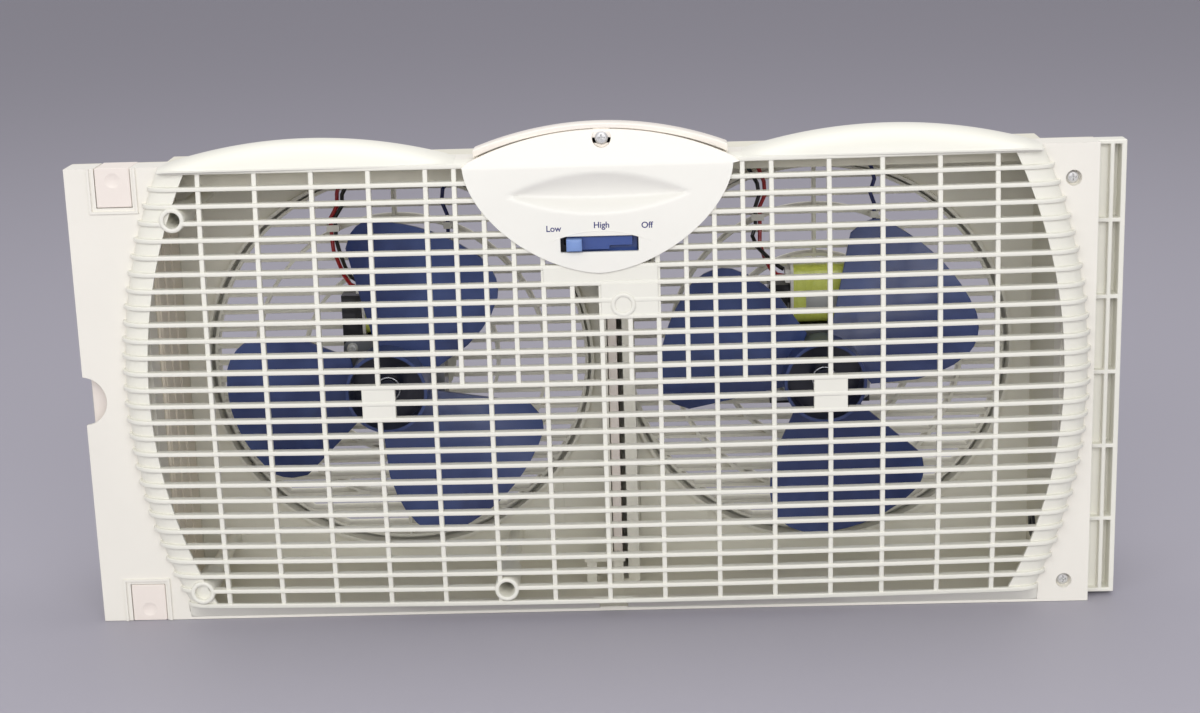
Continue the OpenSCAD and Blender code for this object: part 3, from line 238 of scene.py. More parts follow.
make_floor()
make_world()
scene.view_settings.view_transform = "Standard"
print("view transform:", scene.view_settings.view_transform)

# %% [markdown]
# ## Moulded plastic
# Most of the fan is one cream plastic. Up close it is never one flat colour: the pigment clouds a
# little, the mould leaves a fine grain, and no moulded edge is sharp. The Bevel node bends the shading
# at every edge by a radius, and the grain is a Bump on top of it. What is the same everywhere, such
# as the coat, is set straight on the shader's own socket.
# %% A blank material
def places(tree):
    """The wire of a surface's own places, in metres from the frame's origin."""
    return Wire(tree).node("ShaderNodeTexCoord", out="Object")


def blank(name):
    """A new material, its Principled shader and the wire of its surface's places."""
    stuff = bpy.data.materials.new(name)
    stuff.use_nodes = True
    return stuff, stuff.node_tree.nodes["Principled BSDF"], places(stuff.node_tree)


def feed(wire, shader, socket):
    """Links a wire to one socket of a shader."""
    wire.tree.links.new(wire.output, shader.inputs[socket])


def blend(share, low, high):
    """A colour from low to high by the wire of a share from 0 to 1."""
    return share.node("ShaderNodeMix", {"data_type": "RGBA"}, {0: share, 6: low, 7: high}, out=2)


def relief(height, shader, strength, distance, edge=0.0):
    """Bumps of distance millimetres from a height wire, over edges rounded by edge millimetres."""
    sockets = {"Strength": strength, "Distance": distance * mm, "Height": height}
    if edge:
        sockets["Normal"] = height.node("ShaderNodeBevel", {"samples": 4}, {"Radius": edge * mm})
    feed(height.node("ShaderNodeBump", sockets=sockets), shader, "Normal")


def darker(colour, factor):
    """A colour with less light in it."""
    return (*(part * factor for part in colour[:3]), 1)


print("darker grey:", [round(part, 2) for part in darker((0.5, 0.5, 0.5, 1), 0.8)])


# %% Plastic
def moulded(name, colour, roughness=0.4, clouding=0.9, grain=0.1, edge=0.35, coat=0.0):
    """Moulded plastic: a faintly clouded colour, a fine grain and edges rounded by edge millimetres."""
    stuff, shader, place = blank(name)
    cloud = place.noise(11, 5)
    feed(blend(cloud, darker(colour, clouding), colour), shader, "Base Color")
    feed(cloud * 0.12 + (roughness - 0.06), shader, "Roughness")
    relief(place.noise(900, 2), shader, grain, 0.1, edge)
    shader.inputs["Coat Weight"].default_value = coat
    return stuff


finish = {
    "grille_plastic": moulded("grille_plastic", paint(240, 238, 227)),
    "flange_plastic": moulded("flange_plastic", paint(243, 239, 229)),
    "panel_plastic": moulded("panel_plastic", paint(243, 241, 233), roughness=0.34),
    "housing_plastic": moulded("housing_plastic", paint(235, 231, 215), roughness=0.46, clouding=0.86),
    "inner_plastic": moulded("inner_plastic", paint(247, 244, 230), roughness=0.48, clouding=0.86),
    "beige_plastic": moulded("beige_plastic", paint(245, 235, 226), roughness=0.48, clouding=0.88),
    "slider_plastic": moulded("slider_plastic", paint(58, 82, 146), roughness=0.3, edge=0.5, coat=0.3),
    "liner_plastic": moulded("liner_plastic", paint(250, 240, 224), roughness=0.5),
    "switch_plastic": moulded("switch_plastic", paint(46, 48, 54), roughness=0.5),
    "bobbin_plastic": moulded("bobbin_plastic", paint(236, 233, 224), roughness=0.42),
    "red_lead": moulded("red_lead", paint(170, 28, 34), roughness=0.35, coat=0.2),
    "black_lead": moulded("black_lead", paint(28, 28, 31), roughness=0.35, coat=0.2),
    "blue_lead": moulded("blue_lead", paint(34, 42, 104), roughness=0.35, coat=0.2),
}
print("plastics:", len(finish))


# %% [markdown]
# The blades are a dark blue plastic, thin enough that pale patches show where it flowed into the
# mould, and the same pale patches also stand for painted sheen. A second, larger noise makes those
# patches, and a thin coat gives the gloss.
# %% Blade plastic
def blade_plastic():
    """Dark blue plastic with pale patches, partly flow marks and partly painted sheen, and a glossy skin.
    """
    stuff, shader, place = blank("blade_plastic")
    flow = place.noise(16, 6, distortion=0.8)
    stops = [(0.42, (0, 0, 0, 1)), (0.72, (1, 1, 1, 1))]
    # The pale patches are flow marks and painted sheen together.
    pale_flow_and_sheen = flow.node("ShaderNodeValToRGB", {"stops": stops}, {"Fac": flow})
    feed(blend(pale_flow_and_sheen, paint(40, 56, 107), paint(66, 86, 142)), shader, "Base Color")
    feed(flow * 0.25 + 0.2, shader, "Roughness")
    relief(flow, shader, 0.12, 0.4, edge=0.6)
    shader.inputs["Coat Weight"].default_value = 0.35
    shader.inputs["Coat Roughness"].default_value = 0.18
    return stuff


finish["blade_plastic"] = blade_plastic()
print("blade plastic nodes:", len(finish["blade_plastic"].node_tree.nodes))


# %% [markdown]
# ## Metals
# Zinc, ground steel, pressed steel and bronze differ in colour and in how rough they are. One function
# makes them all: long scratches come from a noise that is squeezed along one axis.
# %% Metals
def metal(name, colour, roughness, stretch=(1, 1, 1), grain=0.15, metallic=1.0):
    """Bare or plated metal with fine scratches, drawn out along the axis whose stretch is small."""
    stuff, shader, place = blank(name)
    drawn = place.node("ShaderNodeVectorMath", {"operation": "MULTIPLY"}, {0: place, 1: stretch})
    scratch, stain = drawn.noise(700, 4), place.noise(60, 3)
    feed(blend(stain, darker(colour, 0.72), colour), shader, "Base Color")
    feed(scratch * 0.25 + (roughness - 0.12), shader, "Roughness")
    relief(scratch, shader, grain, 0.05, edge=0.2)
    shader.inputs["Metallic"].default_value = metallic
    return stuff


finish["zinc"] = metal("zinc", paint(232, 232, 230), 0.46, metallic=0.55)
finish["spring_steel"] = metal("spring_steel", paint(198, 200, 205), 0.25)
finish["ground_steel"] = metal("ground_steel", paint(186, 188, 192), 0.28, stretch=(1, 8, 1))
finish["bracket_steel"] = metal("bracket_steel", paint(176, 178, 180), 0.4, stretch=(0.1, 1, 1))
finish["bronze"] = metal("bronze", paint(176, 132, 84), 0.45)
print("finishes so far:", len(finish))


# %% [markdown]
# The motor's core is a stack of half-millimetre steel sheets under black varnish. The distance to the
# nearest joint between two sheets is a triangle wave of Y, which Ping-Pong gives directly. The coil
# is wound in yellow-green tape, whose overlaps are a wave across the winding, bent by a noise.
# %% Laminations and tape
def laminations(sheet=0.5 * mm):
    """A varnished stack of thin steel sheets, one behind the other along Y."""
    stuff, shader, place = blank("laminations")
    depth, stain = place.axis("Y"), place.noise(120, 5)
    joint = depth.maths("PINGPONG", depth, sheet / 2) * (2 / sheet)
    feed(blend(joint * 0.6 + stain * 0.5, paint(18, 18, 20), paint(66, 65, 66)), shader, "Base Color")
    feed(stain * 0.3 + 0.3, shader, "Roughness")
    relief(joint, shader, 0.6, 0.1)
    shader.inputs["Metallic"].default_value = 0.6
    shader.inputs["Coat Weight"].default_value = 0.5
    return stuff


def coil_tape(lap=5 * mm):
    """Glossy yellow-green tape wound in laps along X."""
    stuff, shader, place = blank("coil_tape")
    crease = place.noise(220, 4)
    ripple = place.axis("X") + crease * (1.2 * mm)
    edge = (ripple.maths("PINGPONG", ripple, lap / 2) * (2 / lap)) ** 6
    wear = edge * 0.15 + crease * 0.6
    feed(blend(wear, paint(224, 230, 112), paint(184, 198, 64)), shader, "Base Color")
    feed(crease * 0.25 + 0.15, shader, "Roughness")
    relief(crease + edge * 0.3, shader, 0.5, 0.3)
    shader.inputs["Coat Weight"].default_value = 0.5
    return stuff


finish["laminations"] = laminations()
finish["coil_tape"] = coil_tape()
print("finishes:", sorted(finish))

# %% [markdown]
# Three finishes change from place to place, and all three are painted light and shade. The bowl of a
# fan's hub gets painted shade, darker than its blades, the switch's knob gets painted light, paler than
# its tongue in the slot, and what lies above the panel's crease gets a little warmer painted shading.
# `tint` mixes a colour in by a share that's worked out from x, y and z.
# %% Tints
bowl_r, bowl_fade = 22.4, 0.6
knob_back_y, crease_top_z = -58.3, 267.2


def tint(name, where, colour):
    """Mixes a colour into a finish by the share that where gives for the wires x, y and z."""
    tree = finish[name].node_tree
    shader, place = tree.nodes["Principled BSDF"], places(tree)
    x, y, z = [place.axis(letter) for letter in "XYZ"]
    share = place.node("ShaderNodeClamp", sockets={"Value": where(x, y, z)})
    plain = Wire(tree, shader.inputs["Base Color"].links[0].from_socket)
    feed(blend(share, plain, colour), shader, "Base Color")


def painted_bowl_shade(x, y, z):
    """Painted shade: 1 inside the hub's bowl of either fan, fading out at its rim."""
    across, up = x - grille_x * mm, z - fan_z * mm
    aside = across.maths("ABSOLUTE", across, 0) - fan_dx * mm
    return (bowl_r * mm - (aside * aside + up * up) ** 0.5) * (1 / (bowl_fade * mm))


# The hub's hollow bowl gets painted shade, a dark navy.
tint("blade_plastic", painted_bowl_shade, paint(13, 19, 42))
# Painted light: the knob in front of the slot is paler than the tongue behind it, though both are one
# moulding.
tint("slider_plastic", lambda x, y, z: (knob_back_y * mm - y) * (1 / mm), paint(124, 152, 206))
# Painted shading: the leaning face above the crease is a little warmer than the shield below it.
tint("panel_plastic", lambda x, y, z: (z - crease_top_z * mm) * (0.7 / mm), paint(247, 240, 230))
print("tinted: blade_plastic, slider_plastic, panel_plastic")

# %% [markdown]
# ## Dressing the solids
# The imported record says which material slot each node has, so one loop gives every solid its finish. The
# liner at the left is a little warmer and brighter than the rest of its slot, so it gets its own.
# %% Finishes on the solids
for part in frame["record"]["subparts"]:
    solid = nodes[part["node"]]
    solid.data.materials.clear()
    solid.data.materials.append(finish[part["material_slot"]])
nodes["left_side_liner"].data.materials[0] = finish["liner_plastic"]

# %% [markdown]
# A solid comes as triangles with sharp edges. Three modifiers give a large moulding real round edges
# and leave the mesh below them alone: Weld joins the triangles, Decimate merges those that lie in one
# plane, and Bevel rounds what is left of the edges.
# %% Rounded edges
def soften(target, radius, angle=32):
    """Rounds the edges of an object that are sharper than an angle, by a radius in millimetres."""
    bevel = target.modifiers.new("soften", "BEVEL")
    bevel.width = radius * mm
    bevel.segments = 3
    bevel.limit_method = "ANGLE"
    bevel.angle_limit = math.radians(angle)
    bevel.harden_normals = True


def merge_planes(target):
    """Joins a solid's triangles, so that each flat face is one polygon."""
    weld = target.modifiers.new("weld", "WELD")
    weld.merge_threshold = 0.001 * mm
    flatten = target.modifiers.new("flatten", "DECIMATE")
    flatten.decimate_type = "DISSOLVE"
    flatten.angle_limit = math.radians(0.6)


round_edges = {"front_frame": 0.8, "rear_housing": 0.8, "right_extender": 0.6, "left_extender": 0.5,
               "orifice_plate": 0.5, "crown_cap": 0.7, "speed_slider": 0.9, "upper_lock_tab": 0.6,
               "lower_lock_tab": 0.6, "left_side_liner": 0.3, "centre_divider": 0.5, "divider_strip": 0.4}
for name, radius in round_edges.items():
    merge_planes(nodes[name])
    soften(nodes[name], radius)
print("solids with round edges:", len(round_edges))

# %% [markdown]
# ## Skin and pieces
# Every new shape below is a skin over a row of rings. A ring is a closed loop of points in millimetres,
# measured from the middle of the grille. `skin` joins each ring to the next and closes both ends.
# `solid_from` turns the drawing into an object, and `piece` also dresses it and lets it ride on the case.
# %% Skin and pieces
def skin(drawing, rings, round_trip=False):
    """Joins rings of equal length into one closed skin. On a round trip the last ring meets the first."""
    rows = [[drawing.verts.new(point) for point in ring] for ring in rings]
    count = len(rows[0])
    next_rows = rows[1:] + rows[:1] if round_trip else rows[1:]
    for row, following in zip(rows, next_rows):
        for k in range(count):
            drawing.faces.new((row[k], row[(k + 1) % count], following[(k + 1) % count], following[k]))
    if not round_trip:
        drawing.faces.new(rows[0][::-1])
        drawing.faces.new(rows[-1])


def solid_from(name, drawing):
    """An object from a drawing in millimetres."""
    bmesh.ops.recalc_face_normals(drawing, faces=drawing.faces)
    mesh = bpy.data.meshes.new(name)
    drawing.to_mesh(mesh)
    drawing.free()
    mesh.transform(Matrix.Scale(mm, 4) @ Matrix.Translation((grille_x, 0, 0)))
    made = bpy.data.objects.new(name, mesh)
    scene.collection.objects.link(made)
    return made


def smooth(mesh, sharp):
    """Shades a mesh smooth where its faces meet at less than sharp degrees."""
    mesh.shade_smooth()
    mesh.set_sharp_from_angle(angle=math.radians(sharp))


def piece(name, drawing, slot, look=None, replaced=(), sharp=38):
    """A dressed object on the case. It shows the finish named look, or else that of its slot."""
    made = solid_from(name, drawing)
    smooth(made.data, sharp)
    made.data.materials.append(finish[look or slot])
    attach(made, "case")
    if replaced:
        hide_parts(*replaced)
    print(name, "has", len(made.data.polygons), "faces")
    return made


print("grille's middle in mm:", grille_x)

# %% [markdown]
# ## The front grille
# The grille is a shallow dome: its front falls back towards the top and bottom, a little towards the
# sides, and quickly round both ends. Bars follow it sideways and ribs follow it upwards.
# `dome` says how far the front lies behind its foremost line at x and z.
# %% The dome
face_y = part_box("front_grille")[0].y / mm
dome_d = flange_d = 20.5
plate_y = face_y + dome_d
back_y = plate_y + flange_d
flange_h = 270.5
bar_base, bar_pitch, bar_count = 10.6, 9.54, 28
top_bar_z = bar_base + (bar_count - 1) * bar_pitch
mid_z = (bar_base + top_bar_z) / 2
grille_half, end_r, band_w = 277, 320, 17
fall_z, fall_x, fall_x_at = 7.93, 4.6, 224


def dome(x, z):
    """How far the grille's front lies behind its foremost line."""
    return fall_z * ((z - mid_z) / (mid_z - bar_base)) ** 2 + fall_x * (x / fall_x_at) ** 2


def end_x(z):
    """Half width of the grille at height z."""
    return grille_half - end_r + math.sqrt(end_r**2 - (z - mid_z) ** 2)


def bar_z(i):
    """Height of bar i, counted from the top."""
    return top_bar_z - i * bar_pitch


print("top bar at", round(top_bar_z, 2), "and half width there", round(end_x(top_bar_z), 1))

# %% [markdown]
# A bar has no sharp corners: its nose is round, and it gets a little thicker towards the back. The
# section is a list of depths and half thicknesses. Where a bar would run through the control panel or
# through the bore of a screw well it's left out, so `spans` cuts a line into the stretches that remain.
# %% Spans
crease_z, shield_half, shield_drop, shield_power = 267, 75, 59.4, 1.68
well_r, well_wall, well_floor, screw_hole_r = 4.5, 2.6, 2.5, 1.8
front_wells = [(-239.5, 241.6), (-239.3, 19.4), (-60.2, 19.4), (12.3, 189)]
nose = [(0, 0.74), (0.02, 0.88), (0.06, 0.96), (0.14, 1), (0.5, 1)]


def shield_x(z):
    """Half width of the control panel's shield at height z, and 0 where there is no shield."""
    share = (crease_z - z) / shield_drop
    return shield_half * (1 - share**shield_power) ** (1 / shield_power) if 0 < share < 1 else 0


def spans(start, end, holes):
    """The stretches from start to end that no hole covers."""
    parts = []
    for low, high in sorted(holes):
        if high > start and low < end:
            if low > start:
                parts.append((start, low))
            start = max(start, high)
    return parts + [(start, end)] if end > start else parts


def well_holes(offset, middle):
    """The stretch that a well takes out of a line which passes its middle at an offset."""
    room = (well_r + 1) ** 2 - offset**2
    return [(middle - math.sqrt(room), middle + math.sqrt(room))] if room > 0 else []


def bar_holes(z):
    """Where a bar at height z is cut, as pairs of x."""
    holes = [(-shield_x(z) + 1, shield_x(z) - 1)] if shield_x(z) > 3 else []
    for well_x, well_z in front_wells:
        holes += well_holes(z - well_z, well_x)
    return holes


near_wells = spans(-270, 270, bar_holes(bar_z(26)))
print("a bar near two wells:", [(round(low), round(high)) for low, high in near_wells])


# %% Edges of a bar
def bar_edge(z, share, inset_x=0.0, inset_y=0.0):
    """A point of a bar's edge: share runs from 0 in the middle over 1, where the bend starts, to 2."""
    tip, start = end_x(z) - inset_x, end_x(z) - band_w
    if share <= 1:
        return start * share, face_y + dome(start * share, z) + inset_y
    turn = (share - 1) * math.pi / 2
    fall = dome(start, z) + inset_y
    return start + (tip - start) * math.sin(turn), face_y + fall + (dome_d - fall) * (1 - math.cos(turn))


def bar_share(x, z):
    """The share along a bar that belongs to a place x."""
    start = end_x(z) - band_w
    bend = min(1, max(0, (abs(x) - start) / band_w))
    return abs(x) / start if abs(x) <= start else 1 + math.asin(bend) / (math.pi / 2)


def stations(low, high, z):
    """The signed shares from x low to x high at which a bar gets a ring."""
    ends = [math.copysign(bar_share(x, z), x) for x in (low, high)]
    steps = [k / 10 for k in range(-20, 21)]
    return sorted([share for share in steps if ends[0] + 0.01 < share < ends[1] - 0.01] + ends)


print("rings on a whole bar:", len(stations(-end_x(mid_z), end_x(mid_z), mid_z)))


# %% Bars
bar_half, bar_inset = 1.25, 5.1


def nosed(half):
    """A bar's or a rib's section: share of its depth and place across it, round the nose to the back."""
    side = [(depth, half * width) for depth, width in nose] + [(1, half)]
    return side + [(depth, -across) for depth, across in side[::-1]]


def add_bar(drawing, z, deep=4.8):
    """One bar, cut where the panel and the wells are."""
    for low, high in spans(-end_x(z), end_x(z), bar_holes(z)):
        rings = []
        for share in stations(low, high, z):
            side = math.copysign(1, share)
            front = bar_edge(z, abs(share))
            rear = bar_edge(z, abs(share), bar_inset, deep)
            across, back = rear[0] - front[0], rear[1] - front[1]
            rings.append([(side * (front[0] + across * depth), front[1] + back * depth, z + rise)
                          for depth, rise in nosed(bar_half)])
        skin(drawing, rings)


grille = bmesh.new()
for i in range(1, bar_count - 1):
    add_bar(grille, bar_z(i))
print("bar faces:", len(grille.faces))

# %% [markdown]
# The ribs stand just behind the bars' fronts. Fifteen run the whole height, and six more between
# them stiffen the upper middle, where a finger would push.
# %% Ribs
rib_count, rib_pitch, rib_t, rib_set, rib_d = 15, 32, 2.7, 0.9, 3.3
right_ribs, right_shift = 12, 2.4


def rib_x(j):
    """Place of rib j, counted from the left. The last three stand a little closer to the middle."""
    return (j - 7) * rib_pitch - (right_shift if j >= right_ribs else 0)


def rib_holes(x):
    """Where a rib at x is cut, as pairs of z."""
    holes = []
    if abs(x) < shield_half:
        edge = crease_z - shield_drop * (1 - (abs(x) / shield_half) ** shield_power) ** (1 / shield_power)
        holes.append((edge + 1, crease_z + 20))
    for well_x, well_z in front_wells:
        holes += well_holes(x - well_x, well_z)
    return holes


def add_rib(drawing, x, low, high):
    """One upright rib from low to high, cut at the panel and at the bores of the wells."""
    for start, end in spans(low, high, rib_holes(x)):
        steps = max(2, round((end - start) / 12))
        rings = []
        for k in range(steps + 1):
            z = start + (end - start) * k / steps
            front = face_y + dome(x, z) + rib_set
            rings.append([(x + aside, front + depth * rib_d, z) for depth, aside in nosed(rib_t / 2)])
        skin(drawing, rings)


for j in range(rib_count):
    add_rib(grille, rib_x(j), bar_base - 0.6, top_bar_z + 0.6)
for j in range(4, 10):
    add_rib(grille, (j - 6.5) * rib_pitch, bar_z(13), top_bar_z + 0.6)
print("faces with ribs:", len(grille.faces))

# %% [markdown]
# Solid bands close the grille at both ends. A band lies a little behind the bars, so that the bars
# stand out of it as soft steps, and its inner edge is an arc. The band is one skin with a ring at
# each height: the outer face's points, then the inner face's.
# %% End bands
band_set, band_t, band_inner_r = 1.7, 2.2, end_r - band_w


def band_arc(z, set_x, set_y, steps=8):
    """Half a ring of the band: from its inner edge round to the flange."""
    tip = end_x(z) - set_x
    start = end_x(z) - band_w - 6
    inner = grille_half - end_r + math.sqrt(band_inner_r**2 - (z - mid_z) ** 2)
    first = math.asin(min(1, (inner - start) / (tip - start)))
    depth = dome(start, z) + set_y
    points = []
    for k in range(steps + 1):
        turn = first + (math.pi / 2 - first) * k / steps
        y = face_y + depth + (dome_d - depth) * (1 - math.cos(turn))
        points.append((start + (tip - start) * math.sin(turn), y))
    return points


def add_band(drawing, side, steps=60):
    """The solid band at one end."""
    rings = []
    for k in range(steps + 1):
        z = bar_base + (top_bar_z - bar_base) * k / steps
        outer = band_arc(z, band_set, band_set)
        inner = band_arc(z, band_set + band_t, band_set + band_t)
        rings.append([(side * x, y, z) for x, y in outer + inner[::-1]])
    skin(drawing, rings)


for side in (-1, 1):
    add_band(grille, side)
print("faces with bands:", len(grille.faces))

# %% [markdown]
# The highest bar is also the grille's top rim: from its nose it slopes up and back to the flange's top.
# Its slope runs on a little behind the control panel, to close the panel's ends from above. The lowest
# bar has a skirt that slants down and back to the sill, with a notch in the middle.
# %% Rims
panel_gap = (-63.5, 66.5)
notch = (-6.6, 9.8)
rim_foot_z = top_bar_z + 0.65


def rim_height(y):
    """Height of the top rim's slope at depth y."""
    return rim_foot_z + (flange_h - rim_foot_z) * min(1, (y - face_y) / dome_d)


def top_rim_section(y):
    """The top rim in y and z, from the underside round the nose to the flange and back."""
    low, top = top_bar_z - bar_half, rim_height(y)
    under = [(y + 0.3, low), (y + 0.1, low + bar_half * 0.2), (y, low + bar_half * 0.6)]
    over = [(y, top_bar_z + 0.3), (y + 0.15, top - 0.2), (y + 0.7, top + 0.04), (plate_y, flange_h)]
    return [*under, *over, (plate_y, flange_h - 2.5), (max(y + 0.3, plate_y - 6), low)]


def bottom_rim_section(y, step=1.2, foot=1.6, shell=2.5):
    """The bottom rim in y and z: a bar, the skirt's outer face, and its inner face back up."""
    low, high = bar_base - bar_half, bar_base + bar_half
    slant = min(plate_y, y + step)
    inner = min(plate_y - 0.1, y + shell)
    front = [(y + 0.3, high), (y, low + 1.7 * bar_half), (y, low + 0.3 * bar_half), (y + 0.25, low)]
    back = [(plate_y, foot), (plate_y, foot + shell + 0.1), (inner, low + 1.6), (inner, high)]
    return [*front, (slant, low), *back]


def add_rim(drawing, z, section, hole, last=1.97):
    """A rim along the whole grille up to the last share, left out inside the hole."""
    for low, high in spans(-end_x(z), end_x(z), [hole]):
        rings = []
        for share in stations(low, high, z):
            x, y = bar_edge(z, min(abs(share), last))
            rings.append([(math.copysign(x, share), depth, height) for depth, height in section(y)])
        skin(drawing, rings)


add_rim(grille, top_bar_z, top_rim_section, panel_gap, last=1.6)
add_rim(grille, bar_base, bottom_rim_section, notch)
print("faces with rims:", len(grille.faces))


# %% The bar over the notch
def add_notch_bar(drawing):
    """The lowest bar carries on over the notch, where the skirt is cut away."""
    section = [(0.3, 1.2), (0, 0.9), (0, -0.9), (0.25, -1.2), (4.8, -1.2), (4.8, 1.2)]
    rings = []
    for x in (notch[0] - 3, notch[0], notch[1], notch[1] + 3):
        y = face_y + dome(x, bar_base)
        rings.append([(x, y + depth, bar_base + rise) for depth, rise in section])
    skin(drawing, rings)


add_notch_bar(grille)
print("notch in mm:", notch)

# %% [markdown]
# Over each fan the top rim swells into a long low crest. Seen from the front it is an arc, and from
# the side a quarter of an ellipse. A soft maximum joins it to the rim's slope: it follows the higher
# of two heights and rounds the corner between them. The crest is a shell, open at the back.
# %% Crests
lobe_dx, lobe_half, lobe_rise, lobe_run, lobe_depth = 163.2, 83.4, 12.5, 20, 13
lobe_foot_y, lobe_foot_z, lobe_base_z = face_y + 9.2, 267.3, 270.3
lobe_shell, crest_reach, crest_fade = 2.4, 82.7, 4


def soft_max(one, other, soft=0.8):
    """The higher of two values, with the corner between them rounded."""
    return (one + other + math.sqrt((one - other) ** 2 + soft**2)) / 2


def crest_height(x):
    """Height of the crest's arc above its base, x from its middle."""
    radius = (lobe_half**2 + lobe_rise**2) / (2 * lobe_rise)
    return math.sqrt(radius**2 - x**2) - radius + lobe_rise


def crest_rows(x):
    """Depth and height along the crest, front to back."""
    tall = crest_height(x) + lobe_base_z - lobe_foot_z
    rows = []
    for turn in [math.radians(6 * k) for k in range(16)]:
        rows.append((lobe_foot_y + lobe_run * (1 - math.cos(turn)), lobe_foot_z + tall * math.sin(turn)))
    rows.append((plate_y + lobe_depth, rows[-1][1]))
    fade = min(1, (crest_reach - abs(x)) / crest_fade)
    return [(y, rim_height(y) + 0.02 + fade * (soft_max(z - rim_height(y), 0) - 0.02)) for y, z in rows]


def add_crest(drawing, middle, steps=56):
    """One crest over a fan."""
    rings = []
    for k in range(steps + 1):
        x = crest_reach * (2 * k / steps - 1)
        outer = crest_rows(x)
        inner = [(y, max(rim_height(y) - 1, z - lobe_shell)) for y, z in outer]
        rings.append([(middle + x, y, z) for y, z in outer + inner[::-1]])
    skin(drawing, rings)


for side in (-1, 1):
    add_crest(grille, side * lobe_dx)
print("crest at its middle in mm:", round(crest_rows(0)[-1][1], 1))

# %% [markdown]
# What remains are the screw wells and a few closed cells. A well is turned on a lathe: its ring is a
# circle, and the rings walk along its outside, round the mouth and down the bore. A closed cell is a
# plate with a chamfered front.
# %% Wells and plates
def add_turned(drawing, middle, profile, sides=48, round_trip=False):
    """A turned shape along y: profile is a list of radius and y, middle its x and z."""
    turns = [2 * math.pi * k / sides for k in range(sides)]
    circle = [(math.cos(turn), math.sin(turn)) for turn in turns]
    rings = []
    for radius, y in profile:
        rings.append([(middle[0] + radius * across, y, middle[1] + radius * up) for across, up in circle])
    skin(drawing, rings, round_trip)


def add_well(drawing, x, z):
    """A screw well with a round mouth."""
    outer, front = well_r + well_wall, face_y + dome(x, z) - 0.5
    outside = [(outer, back_y), (outer, front + 1), (outer - 0.25, front + 0.35), (outer - 0.8, front)]
    inside = [(well_r + 0.7, front), (well_r + 0.2, front + 0.3), (well_r, front + 0.9)]
    seat = [(well_r, back_y - well_floor), (screw_hole_r, back_y - well_floor)]
    add_turned(drawing, (x, z), outside + inside + seat)


def add_plate(drawing, low_x, high_x, low_z, high_z, chamfer=0.25):
    """A plate that closes cells of the grille."""
    y = face_y + dome(max(abs(low_x), abs(high_x)), (low_z + high_z) / 2)
    rings = []
    for depth, inset in ((3.7, 0), (0.4, 0), (0.15, chamfer)):
        x0, x1, z0, z1 = low_x + inset, high_x - inset, low_z + inset, high_z - inset
        rings.append([(x0, y + depth, z0), (x1, y + depth, z0), (x1, y + depth, z1), (x0, y + depth, z1)])
    skin(drawing, rings)


for x, z in front_wells:
    add_well(grille, x, z)
add_plate(grille, rib_x(6), rib_x(8), bar_z(7), bar_z(6))
add_plate(grille, rib_x(7), rib_x(8), bar_z(9), bar_z(7))
hub_plate_w = 19
for side in (-1, 1):
    low_x = side * fan_dx - hub_plate_w / 2
    add_plate(grille, low_x, low_x + hub_plate_w, bar_z(15), bar_z(13))
piece("grille_moulding", grille, "grille_plastic", replaced=("front_grille",))

# %% [markdown]
# ## The control panel
# The panel is one moulding: a shield that follows the dome, a finger dish in it, a crease, and above the
# crease a face that leans back. A grid of points draws its front: `across` runs from -1 to 1 over the
# width and each row has its own height. The same grid set back by the wall's thickness is its back.
# %% Panel's front
shield_proud, panel_wall = 1.5, 2.5
crown_x, crown_r, crown_cz, crown_foot, crown_corner = 1.5, 176.6, 109.6, 77, 73.85
crown_lean, crown_low_z = 8.6 / 20.7, crease_z + 0.35
dish_half, dish_end_z, dish_up, dish_down, dish_deep = 50, 251.4, 11.8, 11.2, 6
dish_lowest = 0.6
disc_r = ((mid_z - bar_base) ** 2 + fall_z**2) / (2 * fall_z)


def dish_depth(x, z):
    """Depth of the finger dish: steep under its upper edge, then fading towards the lower one."""
    width = 1 - (x / dish_half) ** 2
    if width <= 0:
        return 0
    share = (dish_end_z + dish_up * width - z) / ((dish_up + dish_down) * width)
    if not 0 < share < 1:
        return 0
    deep = dish_deep * width**0.8
    if share < dish_lowest:
        return deep * math.sin(math.pi / 2 * share / dish_lowest)
    fade = (1 - share) / (1 - dish_lowest)
    return deep * fade * fade * (3 - 2 * fade)


def shield_front(x, z):
    """Depth of the shield's face."""
    disc = face_y - shield_proud + disc_r - math.sqrt(disc_r**2 - (z - mid_z) ** 2)
    return disc + dish_depth(x, z)


print("dish depth in its middle:", round(max(dish_depth(0, 240 + k) for k in range(24)), 2))


# %% Panel's grid
def shield_row(z, columns):
    """Front points of the shield at height z."""
    half = max(shield_x(z), 0.6)
    return [(half * across, shield_front(half * across, z), z) for across in columns]


def crown_row(climb, columns):
    """Front points of the leaning face: climb is 0 at the crease and 1 at the arc on top."""
    foot_y = shield_front(0, crease_z)
    points = []
    for across in columns:
        x = crown_x + across * (crown_foot + (crown_corner - crown_foot) * climb)
        top = crown_cz + math.sqrt(crown_r**2 - (across * crown_corner) ** 2)
        z = crown_low_z + (top - crown_low_z) * climb
        points.append((x, foot_y + crown_lean * (z - crease_z), z))
    return points


def panel_rows(columns):
    """All rows of the panel from the shield's lowest point up to the crown's top."""
    rises = [0.02, 0.3, 1, 2.2] + [4 + 1.2 * k for k in range(46)]
    heights = [crease_z - shield_drop + rise for rise in rises if rise < shield_drop - 0.6]
    rows = [shield_row(z, columns) for z in [*heights, crease_z - 0.4]]
    return rows + [crown_row(climb, columns) for climb in (0, 0.08, 0.25, 0.5, 0.75, 1)]


columns = [math.sin(math.radians(k)) for k in range(-90, 91, 3)]
print("rows and columns:", len(panel_rows(columns)), len(columns))


# %% Panel's body
def set_back(point, depth):
    """The point moved away from the room."""
    return (point[0], point[1] + depth, point[2])


